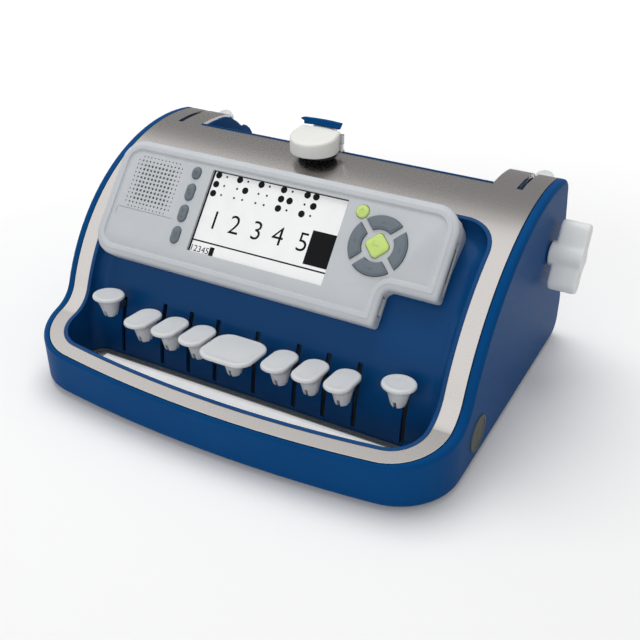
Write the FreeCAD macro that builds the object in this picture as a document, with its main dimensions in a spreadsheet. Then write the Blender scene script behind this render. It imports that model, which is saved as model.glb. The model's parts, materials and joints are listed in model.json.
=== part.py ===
"""Manual braille writer with a display module, as a parametric FreeCAD document.

Frame: millimetres, +X to the user's right, +Y to the back, +Z up, origin on the floor under the
middle of the machine. Every driving size is a cell of the sheet "size"; a name of the sheet in a
formula such as "half_width - wall" is bound with setExpression, and S.half_width is its number.
"""
import FreeCAD, Part

import math
import os
import re
import types

Vec = FreeCAD.Vector
doc = FreeCAD.newDocument("braille_writer")

# ---------------------------------------------------------------------------------------------
# Driving dimensions
# ---------------------------------------------------------------------------------------------
SIZES = {
    "Casing": {
        "half_width": 155.0,        # middle to the outer face of a side wall
        "wall": 3.0,                # casing shell and top cover
        "ledge": 2.5,               # thickness of the rim that the top cover rests on
        "ledge_reach": 9.0,         # plan distance from the outline to the ledge's free edge
        "side_seam": 6.0,           # blue margin beside the top cover
        "front_seam": 1.6,          # and ahead of it
        "cover_gap": 0.7,           # open seam round the top cover
        "foot_rise": 3.0,           # underside of the casing above the floor
        "front_reach": 51.8,        # front of the grip beam ahead of the dome
        "front_crown": 7.3,         # how far the front bulges forward
        "crown_half": 115.0,        # half the width over which it bulges
        "corner_radius": 42.0,      # front corners seen from above
        "strip_front_z": 32.2,      # top of the grip beam at its front edge
        "strip_rise": 7.8,          # rise of the strip to the start of the sweep
        "strip_depth": 39.8,        # depth over which it rises
        "sweep_radius": 22.0,       # concave sweep from strip to dome
        "dome_y": 62.0,             # axis of the dome
        "dome_z": 3.0,
        "dome_radius": 138.0,
        "rear_top_back": 39.0,      # one point of the leaning rear wall, behind the dome's axis
        "rear_top_drop": 23.0,      # and below its crown
        "rear_lean": 14.6,          # lean of the rear wall, degrees
        "rear_reach": 61.7,         # rear face near the floor, behind the dome's axis
        "rear_corner": 12.0,        # rounding of the upper rear corner
        "rear_foot_radius": 13.0,   # rounding of the lower rear corner
        "side_rounding": 3.2,       # outer edge of the side walls and of the front
        "cover_back": 32.0,         # rear end of the top cover, behind the dome's axis
    },
    "Key well": {
        "well_side": 21.0,          # casing's side to the side wall of the well
        "well_margin": 14.2,        # casing's front to the front wall of the well
        "well_depth": 11.0,         # dome to the rear wall of the well
        "well_corner": 22.0,        # front corners
        "well_top_corner": 20.0,    # upper corners
        "well_rounding": 9.0,       # between its side walls and its rear wall
        "well_cover": 1.9,          # the display module hides the upper rim by this much
        "tray_wall": 2.5,
        "slot_width": 3.2,          # slots that the key levers pass through
        "slot_low": 7.5,
        "dot_key_slot_high": 52.0,
        "space_slot_high": 52.0,
        "end_key_slot_high": 49.0,
        "liner_height": 2.0,
        "liner_wall": 1.5,
    },
    "Paper opening": {
        "opening_side": 39.9,       # casing's side to the opening
        "opening_front": 6.9,       # its front edge ahead of the dome's axis
        "frame_step": 0.4,          # opening to the inner face of a side frame
        "frame_wall": 4.0,
        "frame_front": 44.0,        # front edge ahead of the dome's axis
        "rear_cover_drop": 51.0,    # its upper edge below the crown
        "plate_side": 7.2,          # bottom plate to the casing's side,
        "plate_margin": 66.8,       # its front
        "plate_rear_margin": 12.7,  # and its rear
        "release_side": 21.6,       # middle of a release lever to the casing's side
        "release_slot": 4.0,
        "release_slot_reach": 1.8,  # slot's front end ahead of the opening
    },
    "Keys": {
        "pivot_front": 32.0,        # pivot shaft ahead of the dome's axis
        "pivot_z": 22.0,
        "pivot_radius": 3.0,
        "lever_wall": 1.6,
        "lever_height": 7.0,
        "hub_radius": 7.0,
        "lever_tail": 28.0,         # from the pivot back
        "key_margin": 33.6,         # dot keys behind the well's front wall
        "space_margin": 28.6,
        "end_key_margin": 40.6,
        "key_top_z": 55.0,
        "space_step": 1.0,          # tops above those of the dot keys
        "end_key_step": 5.0,
        "key_height": 17.5,         # top to the lower end of the neck
        "end_key_height": 16.3,
        "cap_thickness": 5.5,
        "cap_rounding": 1.8,
        "cap_tilt": -6.0,           # top faces lean down to the back, degrees
        "dot_key_width": 18.0,
        "dot_key_length": 30.0,
        "dot_key_flat": 0.4,        # half the straight part of a rounded end
        "space_side": 12.4,         # space key's side to the middle of the next dot key
        "space_length": 36.0,
        "space_corner": 11.0,
        "end_key_radius": 11.0,
        "neck_top_radius": 6.4,
        "neck_low_radius": 4.8,
        "post_height": 6.0,         # end of a lever inside a neck
        "post_half": 3.0,
        "dot_one_x": 31.4,
        "inner_pitch": 22.1,        # first to second dot key
        "outer_pitch": 22.4,        # second to third
        "end_key_ratio": 0.824,     # place of an end key in the well's half width
        "spring_length": 3.4,
        "spring_wall": 1.5,
        "tail_rounding": 1.0,
    },
    "Carriage": {
        "carriage_x": -9.5,
        "carriage_half": 26.0,
        "carriage_back": 23.5,      # front face behind the dome's axis
        "carriage_depth": 15.5,
        "carriage_drop": 21.0,      # upper face below the crown
        "carriage_height": 31.0,
        "guide_radius": 4.0,
        "guide_inset": 7.7,         # guide rods behind the front face,
        "guide_low_inset": 7.0,     # above the lower face
        "guide_high_inset": 8.0,    # and below the upper face
        "head_half": 14.0,          # embossing head
        "head_reach": 25.5,         # ahead of the carriage
        "head_sink": 9.0,           # its underside below the carriage's upper face
        "head_height": 3.6,
        "stop_margin": 11.5,        # margin stops at rest, from the side frames
        "stop_half": 4.0,
        "stop_radius": 6.5,
        "stop_rod_radius": 3.0,
        "stop_rod_back": 10.5,      # behind the carriage's front face
        "stop_rod_drop": 11.0,      # below the carriage
        "grip_front": 22.6,         # middle of the lever's round head, ahead of the dome's axis
        "grip_radius": 17.0,
        "grip_clearance": 4.0,      # over the crown
        "grip_front_height": 10.0,
        "grip_rear_height": 14.0,
        "grip_length": 10.6,        # middle of the round head to the grip's rear edge
        "grip_rear_half": 15.5,
        "grip_taper": 6.0,          # over this length the grip narrows to its arm
        "grip_front_rounding": 1.5,
        "grip_neck_rounding": 2.0,
        "rest_low_half": 13.0,      # raised rest on the grip's rear edge
        "rest_high_half": 14.5,
        "rest_rise": 4.4,
        "rest_crown": 1.0,
        "rest_wall": 5.0,
        "rest_lean": 15.0,          # degrees
        "hinge_ahead": 13.5,        # hinge pin ahead of the carriage's front face
        "hinge_rise": 1.0,          # and over its upper face
        "hinge_radius": 2.5,
        "arm_half": 8.0,
        "arm_clearance": 2.9,       # arm behind the front edge of the paper opening
        "latch_inner": 13.0,        # silver latch beside the grip
        "latch_width": 6.0,
        "latch_length": 5.0,
        "latch_low": 2.5,
        "latch_height": 8.0,
    },
    "Paper roller": {
        "roller_back": 6.0,         # behind the dome's axis
        "roller_drop": 47.0,        # below the crown
        "roller_radius": 15.0,
        "shaft_radius": 4.0,
        "roller_gap": 2.5,          # roller end to side frame
        "boss_radius": 8.0,
        "boss_length": 20.0,
        "pinch_radius": 6.0,
        "pinch_journal": 2.5,
        "pinch_angle": -112.0,
        "release_wall": 3.0,
        "release_hub": 12.0,
        "release_angle": 34.7,
        "release_reach": 50.5,
        "tab_height": 11.0,
        "tab_width": 14.0,
        "tab_wall": 3.2,
        "tab_joint": 2.0,           # arm runs this far into the tab
        "tab_rounding": 1.0,
        "knob_gap": 0.6,            # knob hub to side wall
        "knob_hub_radius": 8.5,
        "knob_hub_length": 3.0,
        "knob_width": 20.0,
        "knob_length": 48.0,
        "knob_wall": 11.0,
        "knob_tilt": 27.0,
    },
    "Display module": {
        "module_x": -11.0,          # origin of the display plane
        "module_slide": 28.83,      # up the slope from where the plane is nearest the dome's axis
        "module_sink": 0.93,        # plane inside the dome there
        "module_tilt": 49.6,        # degrees
        "module_overhang": 6.0,     # past the well's left wall
        "module_margin": 17.0,      # to the well's right wall
        "module_top": 39.5,
        "module_low": 45.5,
        "module_depth": 9.8,
        "module_face": 1.5,
        "module_ridge": 0.8,        # rim above the face
        "ridge_inset": 8.5,
        "module_bevel": 3.5,
        "module_corner": 17.0,      # large outer corners
        "module_sharp_corner": 4.2, # corners at the notch
        "module_wall": 2.5,
        "notch_width": 35.0,
        "notch_height": 25.0,
        "screen_side": 77.0,        # screen to the module's left edge,
        "screen_foot": 16.5,        # its lower
        "screen_head": 10.3,        # and its upper edge
        "screen_wall": 3.0,
        "back_inset": 1.0,
        "button_rise": 1.8,         # cap above the face
        "flange_reach": 0.6,        # holds a button behind the face
        "flange_wall": 1.6,
        "pill_side": 65.0,          # pill buttons to the module's left edge
        "pill_half_width": 3.7,
        "pill_half_length": 5.9,
        "menu_half_length": 4.1,    # the uppermost pill is shorter
        "menu_v": 24.0,
        "speech_v": 10.1,
        "volume_v": -5.4,
        "mode_v": -21.1,
        "power_side": 64.4,         # power button to the module's right
        "power_head": 15.9,         # and upper edge
        "power_radius": 4.3,
        "pad_side": 47.7,           # middle of the four arc buttons to the module's right edge
        "pad_v": 4.4,
        "arc_outer": 19.6,
        "arc_inner": 10.6,
        "arc_gap": 2.2,
        "ok_half": 6.3,
        "ok_corner": 2.6,
        "grille_side": 34.4,        # middle of the sound holes to the module's left edge
        "grille_v": 9.3,
        "grille_pitch": 3.06,
        "grille_hole": 0.8,
        "speaker_radius": 19.5,
        "speaker_depth": 4.0,
        "port_length": 12.0,
        "port_height": 3.2,
        "port_depth": 6.0,
        "port_drop": 11.0,          # middle of the port below the notch's upper edge
    },
    "Fits and small parts": {
        "fit": 0.06,                # running fit, radial
        "gap": 0.3,                 # between bodies that pass each other
        "seam": 0.2,                # between casing pieces
        "foot_radius": 6.0,
        "front_foot_side": 9.5,     # feet to the casing's side
        "front_foot_margin": 45.8,  # and to its front or rear
        "rear_foot_side": 20.0,
        "rear_foot_margin": 27.7,
        "plug_radius": 12.5,
        "plug_margin": 76.8,        # side plugs to the casing's front
        "plug_z": 23.0,
        "plug_proud": 0.8,
    },
}

# Places that follow from these sizes: each is a sum, a difference or one product of them
PLACES = {
    "crown_z": "dome_z + dome_radius",
    "front_y": "dome_y - dome_radius - front_reach",
    "rear_y": "dome_y + rear_reach",
    "rear_top_y": "dome_y + rear_top_back",
    "rear_top_z": "crown_z - rear_top_drop",
    "cover_rear_y": "dome_y + cover_back",
    "well_half": "half_width - well_side",
    "well_front_y": "front_y + well_margin",
    "well_radius": "dome_radius - well_depth",
    "well_top_v": "module_top - well_cover",
    "opening_half": "half_width - opening_side",
    "opening_y": "dome_y - opening_front",
    "frame_inner": "opening_half + frame_step",
    "frame_front_y": "dome_y - frame_front",
    "rear_cover_top": "crown_z - rear_cover_drop",
    "plate_half": "half_width - plate_side",
    "plate_front_y": "front_y + plate_margin",
    "plate_rear_y": "rear_y - plate_rear_margin",
    "release_x": "half_width - release_side",
    "release_slot_y": "opening_y - release_slot_reach",
    "pivot_y": "dome_y - pivot_front",
    "lever_tail_y": "pivot_y + lever_tail",
    "key_y": "well_front_y + key_margin",
    "space_y": "well_front_y + space_margin",
    "end_key_y": "well_front_y + end_key_margin",
    "space_top_z": "key_top_z + space_step",
    "end_key_top_z": "key_top_z + end_key_step",
    "key_neck_z": "key_top_z - key_height",
    "end_key_neck_z": "end_key_top_z - end_key_height",
    "space_half": "dot_one_x - space_side",
    "dot_two_x": "dot_one_x + inner_pitch",
    "dot_three_x": "dot_two_x + outer_pitch",
    "end_key_x": "well_half * end_key_ratio",
    "carriage_front_y": "dome_y + carriage_back",
    "carriage_rear_y": "carriage_front_y + carriage_depth",
    "carriage_high_z": "crown_z - carriage_drop",
    "carriage_low_z": "carriage_high_z - carriage_height",
    "guide_y": "carriage_front_y + guide_inset",
    "guide_low_z": "carriage_low_z + guide_low_inset",
    "guide_high_z": "carriage_high_z - guide_high_inset",
    "head_front_y": "carriage_front_y - head_reach",
    "head_low_z": "carriage_high_z - head_sink",
    "head_high_z": "head_low_z + head_height",
    "stop_x": "frame_inner - stop_margin",
    "stop_rod_y": "carriage_front_y + stop_rod_back",
    "stop_rod_z": "carriage_low_z - stop_rod_drop",
    "grip_y": "dome_y - grip_front",
    "grip_rear_y": "grip_y + grip_length",
    "grip_neck_y": "grip_rear_y + grip_taper",
    "grip_low_z": "crown_z + grip_clearance",
    "grip_front_z": "grip_low_z + grip_front_height",
    "grip_rear_z": "grip_low_z + grip_rear_height",
    "hinge_y": "carriage_front_y - hinge_ahead",
    "hinge_z": "carriage_high_z + hinge_rise",
    "arm_front_y": "opening_y + arm_clearance",
    "roller_y": "dome_y + roller_back",
    "roller_z": "crown_z - roller_drop",
    "module_left": "well_half + module_overhang + module_x",
    "module_right": "well_half - module_margin - module_x",
    "notch_left": "module_right - notch_width",
    "notch_top": "module_low - notch_height",
    "screen_half_u": "module_left - screen_side",
    "screen_low": "module_low - screen_foot",
    "screen_high": "module_top - screen_head",
    "pill_u": "module_left - pill_side",
    "power_u": "module_right - power_side",
    "power_v": "module_top - power_head",
    "pad_u": "module_right - pad_side",
    "grille_u": "module_left - grille_side",
    "port_v": "- notch_top - port_drop",
    "front_foot_x": "half_width - front_foot_side",
    "front_foot_y": "front_y + front_foot_margin",
    "rear_foot_x": "half_width - rear_foot_side",
    "rear_foot_y": "rear_y - rear_foot_margin",
    "plug_y": "front_y + plug_margin",
}

sheet = doc.addObject("Spreadsheet::Sheet", "size")
row = 1
for group, cells in SIZES.items():
    sheet.set(f"A{row}", group)
    row += 1
    for alias, value in cells.items():
        sheet.set(f"A{row}", alias)
        sheet.set(f"B{row}", str(value))
        sheet.setAlias(f"B{row}", alias)
        row += 1
doc.recompute()

ALIASES = [alias for cells in SIZES.values() for alias in cells]
S = types.SimpleNamespace(**{alias: float(sheet.get(alias)) for alias in ALIASES})
for place, formula in PLACES.items():
    total, sign = 0.0, "+"
    for word in formula.split():
        if word in "+-*":
            sign = word
        elif sign == "*":
            total *= getattr(S, word)
        else:
            total += getattr(S, word) * (-1 if sign == "-" else 1)
    setattr(S, place, total)
DOME = Vec(0, S.dome_y, S.dome_z)
FLAT = 0.1      # straight length that a rounded end keeps, so that it stays two arcs


# ---------------------------------------------------------------------------------------------
# Helpers
# ---------------------------------------------------------------------------------------------
def cell(formula):
    """A formula in the sheet's names and places, written as a FreeCAD expression."""
    def written(word):
        if word[0] in PLACES:
            return f"({cell(PLACES[word[0]])})"
        return "size." + word[0] if word[0] in ALIASES else word[0]
    return re.sub(r"[a-z_]+", written, str(formula))


def bind(thing, **formulas):
    """Binds properties to formulas; __ in a name stands for a dot."""
    for name, formula in formulas.items():
        path = name.replace("__", ".")
        thing.setExpression("." + path if "." in path else path, cell(formula))
    return thing


def box(name, span_x, span_y, span_z):
    """A block between the lower and upper faces given for each axis."""
    block = doc.addObject("Part::Box", name)
    for side, axis, (low, high) in zip(("Length", "Width", "Height"), "xyz",
                                       (span_x, span_y, span_z)):
        bind(block, **{side: f"({high}) - ({low})", f"Placement__Base__{axis}": low})
    return block


def rod(name, radius, span_x, y, z):
    """A cylinder along X."""
    low, high = span_x
    cylinder = doc.addObject("Part::Cylinder", name)
    cylinder.Placement = FreeCAD.Placement(Vec(), FreeCAD.Rotation(Vec(0, 1, 0), 90))
    return bind(cylinder, Radius=radius, Height=f"({high}) - ({low})", Placement__Base__x=low,
                Placement__Base__y=y, Placement__Base__z=z)


def post(name, radius, x, y, span_z):
    """A cylinder along Z."""
    low, high = span_z
    return bind(doc.addObject("Part::Cylinder", name), Radius=radius,
                Height=f"({high}) - ({low})", Placement__Base__x=x, Placement__Base__y=y,
                Placement__Base__z=low)


def cut(name, base, *tools):
    """The base without the tools."""
    result = doc.addObject("Part::Cut", name)
    result.Base = base
    result.Tool = tools[0] if len(tools) == 1 else fuse(name + "_tools", *tools)
    return result


def fuse(name, *pieces):
    """The pieces joined into one shape."""
    result = doc.addObject("Part::MultiFuse", name)
    result.Shapes = list(pieces)
    return result


def common(name, *pieces):
    """The space shared by all pieces."""
    result = doc.addObject("Part::MultiCommon", name)
    result.Shapes = list(pieces)
    return result


def mirrored(name, piece):
    """The piece's twin on the other side of the middle plane."""
    twin = doc.addObject("Part::Mirroring", name)
    twin.Source = piece
    twin.Normal = Vec(1, 0, 0)
    return twin


def prism(name, plane, outline, low, high):
    """A PartDesign pad of a closed outline, between two heights above its plane."""
    body = doc.addObject("PartDesign::Body", name)
    sketch = body.newObject("Sketcher::SketchObject", name + "_outline")
    origin = [f for f in body.Origin.OriginFeatures if f.Role == plane][0]
    sketch.AttachmentSupport = [(origin, "")]
    sketch.MapMode = "FlatFace"
    bind(sketch, AttachmentOffset__Base__z=low)
    for curve in outline:
        sketch.addGeometry(curve, False)
    pad = body.newObject("PartDesign::Pad", name + "_pad")
    pad.Profile = sketch
    bind(pad, Length=f"({high}) - ({low})")
    body.Tip = pad
    sketch.Visibility = False
    return body


def line(start, end):
    """A straight side of an outline."""
    return Part.LineSegment(Vec(*start, 0), Vec(*end, 0))


def bow(start, middle, end):
    """A round side of an outline, through three points."""
    return Part.Arc(Vec(*start, 0), Vec(*middle, 0), Vec(*end, 0))


def rounded(corners):
    """A closed outline through corners (x, y, radius), each rounded by its radius."""
    ends, arcs = [], []
    for index, (x, y, radius) in enumerate(corners):
        here = Vec(x, y, 0)
        back = (Vec(*corners[index - 1][:2], 0) - here).normalize()
        ahead = (Vec(*corners[(index + 1) % len(corners)][:2], 0) - here).normalize()
        half = back.getAngle(ahead) / 2
        if radius == 0 or abs(half - math.pi / 2) < 1e-6:
            ends.append((here, here))
            arcs.append(None)
            continue
        reach = radius / math.tan(half)
        first, last = here + back * reach, here + ahead * reach
        middle = here + (back + ahead).normalize() * (radius / math.sin(half) - radius)
        ends.append((first, last))
        arcs.append(Part.Arc(first, middle, last))
    outline = []
    for index, arc in enumerate(arcs):
        if arc:
            outline.append(arc)
        start, end = ends[index][1], ends[(index + 1) % len(ends)][0]
        if start.distanceToPoint(end) > 1e-6:
            outline.append(Part.LineSegment(start, end))
    return outline


def rounded_box(half_x, half_y, radius, centre=(0, 0)):
    """A rounded rectangle outline."""
    cx, cy = centre
    return rounded([(cx - half_x, cy - half_y, radius), (cx + half_x, cy - half_y, radius),
                    (cx + half_x, cy + half_y, radius), (cx - half_x, cy + half_y, radius)])


def filleted(name, piece, radius, wanted):
    """The piece with the edges that wanted(edge) picks rounded."""
    doc.recompute()
    result = doc.addObject("Part::Fillet", name)
    result.Base = piece
    result.Edges = [(index, radius, radius)
                    for index, edge in enumerate(piece.Shape.Edges, 1) if wanted(edge)]
    return result


parts = {}


def keep(label, piece):
    """Names a finished sub-part and lists it for export."""
    piece.Label = label
    parts[label] = piece
    return piece


# ---------------------------------------------------------------------------------------------
# Outlines of the casing, each at a distance inside its outer surface
# ---------------------------------------------------------------------------------------------
def yz(vector):
    """A point of the side view as a pair."""
    return (vector.y, vector.z)


def on_circle_and_line(point, direction, radius):
    """Both points of a line at the given distance from the dome's axis."""
    middle = point + direction * (DOME - point).dot(direction)
    reach = math.sqrt(radius ** 2 - middle.distanceToPoint(DOME) ** 2)
    return middle - direction * reach, middle + direction * reach


def casing_outline(inset):
    """The casing's side view: strip, sweep, dome, leaning rear wall and rounded rear corners."""
    strip = Vec(0, S.strip_depth, S.strip_rise).normalize()
    up = Vec(0, -strip.z, strip.y)
    strip_start = Vec(0, S.front_y, S.strip_front_z)
    sweep, _ = on_circle_and_line(strip_start + up * S.sweep_radius, strip,
                                  S.dome_radius + S.sweep_radius)
    lean = math.radians(S.rear_lean)
    down = Vec(0, math.sin(lean), -math.cos(lean))
    back = Vec(0, math.cos(lean), math.sin(lean))
    rear_top = Vec(0, S.rear_top_y, S.rear_top_z)
    corner, _ = on_circle_and_line(rear_top - back * S.rear_corner, down,
                                   S.dome_radius - S.rear_corner)

    front, bottom, rear = S.front_y + inset, S.foot_rise + inset, S.rear_y - inset
    sweep_radius, dome_radius = S.sweep_radius + inset, S.dome_radius - inset
    corner_radius = S.rear_corner - inset
    strip_at_front = strip_start - up * inset + strip * (inset / strip.y)
    sweep_start = sweep - up * sweep_radius
    outward = (sweep - DOME).normalize()
    dome_start = DOME + outward * dome_radius
    sweep_middle = sweep - (up + outward).normalize() * sweep_radius
    dome_end = DOME + (corner - DOME).normalize() * dome_radius
    corner_middle = corner + ((corner - DOME).normalize() + back).normalize() * corner_radius
    rear_start = corner + back * corner_radius
    rear_bend = rear_start + down * ((rear - rear_start.y) / down.y)
    foot = S.rear_foot_radius
    foot_middle = (rear - (foot - inset) * (1 - math.sqrt(0.5)),
                   bottom + (foot - inset) * (1 - math.sqrt(0.5)))
    return [line((front, bottom), yz(strip_at_front)), line(yz(strip_at_front), yz(sweep_start)),
            bow(yz(sweep_start), yz(sweep_middle), yz(dome_start)),
            bow(yz(dome_start), (S.dome_y, S.dome_z + dome_radius), yz(dome_end)),
            bow(yz(dome_end), yz(corner_middle), yz(rear_start)),
            line(yz(rear_start), yz(rear_bend)),
            line(yz(rear_bend), (rear, S.foot_rise + foot)),
            bow((rear, S.foot_rise + foot), foot_middle, (S.rear_y - foot, bottom)),
            line((S.rear_y - foot, bottom), (front, bottom))]


def plan_outline(inset, front_inset, radius):
    """A line inside the casing seen from above: crowned front, round corners, straight sides."""
    half = S.half_width - inset
    crown = (S.crown_half ** 2 + S.front_crown ** 2) / (2 * S.front_crown)
    centre = Vec(0, S.front_y + crown, 0)
    reach = crown - front_inset - radius
    corner_x = half - radius
    corner = Vec(corner_x, centre.y - math.sqrt(reach ** 2 - corner_x ** 2), 0)
    outward = (corner - centre).normalize()
    meet = corner + outward * radius
    diagonal = corner + (outward + Vec(1, 0, 0)).normalize() * radius
    rear = S.rear_y + S.rear_corner
    return [bow((-meet.x, meet.y), (0, S.front_y + front_inset), (meet.x, meet.y)),
            bow((meet.x, meet.y), (diagonal.x, diagonal.y), (half, corner.y)),
            line((half, corner.y), (half, rear)), line((half, rear), (-half, rear)),
            line((-half, rear), (-half, corner.y)),
            bow((-half, corner.y), (-diagonal.x, diagonal.y), (-meet.x, meet.y))]


def well_profile(grow):
    """The well's side view: rear wall round the dome's axis, open at the front, above and below."""
    radius = S.well_radius - grow
    front, above = S.front_y, S.dome_radius * 1.5
    low_rear = S.dome_y - math.sqrt(radius ** 2 - (S.dome_z + 1) ** 2)
    bend = math.sqrt(0.5) * radius
    return [line((front, -1), (front, above)), line((front, above), (S.dome_y, above)),
            line((S.dome_y, above), (S.dome_y, S.dome_z + radius)),
            bow((S.dome_y, S.dome_z + radius), (S.dome_y - bend, S.dome_z + bend),
                (low_rear, -1)),
            line((low_rear, -1), (front, -1))]


def module_placement():
    """Where the display plane lies: u along X, v up the slope, w outward."""
    turn = FreeCAD.Rotation(Vec(1, 0, 0), S.module_tilt)
    return FreeCAD.Placement(DOME + turn.multVec(Vec(S.module_x, S.module_slide,
                                                     S.dome_radius - S.module_sink)), turn)


def well_space(name, grow):
    """The well, grown by a distance on all its sides."""
    side = prism(name + "_side", "YZ_Plane", well_profile(grow), f"-well_half - ({grow})",
                 f"well_half + ({grow})")
    half = S.well_half + grow
    plan = prism(name + "_plan", "XY_Plane",
                 plan_outline(S.well_side - grow, S.well_margin - grow, S.well_corner + grow),
                 "-foot_rise", "dome_radius * 2")
    top = S.well_top_v + grow
    corner = S.well_top_corner + grow
    rim = prism(name + "_rim", "XY_Plane",
                rounded([(-half - S.module_x, -2 * S.dome_radius, 0),
                         (half - S.module_x, -2 * S.dome_radius, 0),
                         (half - S.module_x, top, corner), (-half - S.module_x, top, corner)]),
                "-dome_radius * 2", "dome_radius")
    rim.Placement = module_placement()

    def on_rear_corner(edge):
        """Picks the edges between a side wall and the round rear wall."""
        bounds, middle = edge.BoundBox, edge.valueAt(sum(edge.ParameterRange) / 2)
        reach = math.hypot(middle.y - S.dome_y, middle.z - S.dome_z)
        return bounds.XLength < 0.01 and abs(reach - (S.well_radius - grow)) < 0.01

    return filleted(name, common(name + "_walls", side, plan, rim), S.well_rounding + grow,
                    on_rear_corner)


def casing_block(name, inset, plan_inset):
    """Everything inside the casing's outline at one inset, within the plan at another."""
    side = prism(name + "_side", "YZ_Plane", casing_outline(inset), "-half_width", "half_width")
    plan = prism(name + "_plan", "XY_Plane",
                 plan_outline(plan_inset, plan_inset, S.corner_radius - plan_inset), "-foot_rise",
                 "dome_radius * 1.5")
    return common(name, side, plan)


# ---------------------------------------------------------------------------------------------
# Casing
# ---------------------------------------------------------------------------------------------
def on_rim(edge):
    """Picks the edges between the upright outer walls and the top, all the way round."""
    bounds = edge.BoundBox
    across = bounds.XLength > S.half_width
    upright_in_front = bounds.YLength < 0.01 and bounds.YMax < 0
    return bounds.ZMax > S.foot_rise + S.wall and not across and not upright_in_front


def cover_outline(inset):
    """The top cover's place seen from above, or a line inside it."""
    side, front = S.side_seam + inset, S.front_seam + inset
    return plan_outline(side, front, S.corner_radius - (side + front) / 2)


outer = casing_block("outer_block", 0, 0)
outer_round = filleted("outer_round", outer, S.side_rounding, on_rim)
inner = fuse("inner_space", casing_block("inner_narrow", S.wall, S.ledge_reach),
             casing_block("inner_wide", S.wall + S.ledge, S.wall))
inner_form = prism("inner_form", "YZ_Plane", casing_outline(S.wall), "-half_width", "half_width")
cover_zone = prism("cover_zone", "XY_Plane", cover_outline(0), "strip_front_z / 2",
                   "dome_radius * 1.5")
cover_behind = box("cover_behind", ("-half_width", "half_width"), ("cover_rear_y", "rear_y * 2"),
                   ("0", "dome_radius * 2"))
cover_space = cut("cover_space", cover_zone, inner_form, cover_behind)
well_cut = well_space("well_cut", S.tray_wall + S.seam)
rear_gate = box("rear_gate", ("-frame_inner", "frame_inner"), ("opening_y", "rear_y * 2"),
                ("foot_rise + wall", "dome_radius * 2"))
floor_gate = box("floor_gate", ("-plate_half - seam", "plate_half + seam"),
                 ("plate_front_y - seam", "plate_rear_y + seam"), ("0", "foot_rise + wall"))
SIDES = (("left", "-"), ("right", ""))
release_slots = [box(f"{side}_release_slot",
                     (f"{sign}release_x - release_slot / 2", f"{sign}release_x + release_slot / 2"),
                     ("release_slot_y", "rear_y * 2"),
                     ("roller_z + boss_radius", "dome_radius * 2"))
                 for side, sign in SIDES]
shaft_hole = rod("shaft_hole", "shaft_radius + 4 * gap", ("-half_width * 2", "half_width * 2"),
                 "roller_y", "roller_z")
plug_hole = rod("plug_hole", "plug_radius", ("-half_width * 2", "half_width * 2"), "plug_y",
                "plug_z")
keep("casing_shell", cut("casing_shell_cut", outer_round, inner, cover_space, well_cut, rear_gate,
                         floor_gate, *release_slots, shaft_hole, plug_hole))

cover_plan = prism("cover_plan", "XY_Plane", cover_outline(S.cover_gap), "strip_front_z / 2",
                   "dome_radius * 1.5")
cover_block = casing_block("cover_block", 0, 0)
paper_gate = box("paper_gate", ("-opening_half", "opening_half"), ("opening_y", "rear_y * 2"),
                 ("dome_radius / 2", "dome_radius * 2"))
cover_end = box("cover_end", ("-half_width", "half_width"), ("cover_rear_y - seam", "rear_y * 2"),
                ("0", "dome_radius * 2"))
cover_low = box("cover_low", ("-half_width", "half_width"), ("front_y * 2", "rear_y * 2"),
                ("-foot_rise", "strip_front_z / 2 + wall"))
keep("top_cover", cut("top_cover_cut", common("cover_form", cover_block, cover_plan), inner_form,
                      cover_end, cover_low, paper_gate, well_space("cover_well", S.tray_wall
                                                                   + S.seam), *release_slots))

KEY_PLACES = {
    "line_key": ("-end_key_x", "end_key"), "dot_3_key": ("-dot_three_x", "dot_key"),
    "dot_2_key": ("-dot_two_x", "dot_key"), "dot_1_key": ("-dot_one_x", "dot_key"),
    "space_key": ("0", "space"), "dot_4_key": ("dot_one_x", "dot_key"),
    "dot_5_key": ("dot_two_x", "dot_key"), "dot_6_key": ("dot_three_x", "dot_key"),
    "backspace_key": ("end_key_x", "end_key"),
}
lever_slots = [box(f"{key}_slot", (f"{x} - slot_width / 2", f"{x} + slot_width / 2"),
                   ("well_front_y / 1.3", "0"), ("slot_low", f"{kind}_slot_high"))
               for key, (x, kind) in KEY_PLACES.items()]
tray = common("tray", well_space("tray_outside", S.tray_wall), casing_block("tray_limit", 0, 0))
keep("key_well", cut("key_well_cut", tray, well_space("tray_inside", 0), *lever_slots))

liner_band = box("liner_band", ("-half_width", "half_width"), ("front_y", "0"),
                 ("foot_rise", "foot_rise + liner_height"))
keep("handle_liner", cut("handle_liner_cut",
                         common("liner_block", well_space("liner_outside", 0), liner_band),
                         well_space("liner_inside", -S.liner_wall)))

rear_band = box("rear_band", ("-frame_inner + seam", "frame_inner - seam"),
                ("opening_y + wall", "rear_y * 2"), ("foot_rise + wall + seam", "rear_cover_top"))
rear_form = prism("rear_form", "YZ_Plane", casing_outline(0), "-half_width", "half_width")
keep("rear_cover", cut("rear_cover_cut", common("rear_block", rear_form, rear_band), inner_form))

keep("bottom_plate", box("bottom_sheet", ("-plate_half", "plate_half"),
                         ("plate_front_y", "plate_rear_y"), ("foot_rise", "foot_rise + wall")))
keep("rubber_feet", fuse("feet_group", *[
    post(f"foot_{side}_{end}", "foot_radius", f"{sign}{end}_foot_x", f"{end}_foot_y",
         ("0", "foot_rise"))
    for side, sign in SIDES for end in ("front", "rear")]))
keep("side_plugs", fuse("plug_group", *[
    rod(f"plug_{side}", "plug_radius", span, "plug_y", "plug_z")
    for side, span in (("left", ("-half_width - plug_proud", "wall - half_width")),
                       ("right", ("half_width - wall", "half_width + plug_proud")))]))


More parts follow.
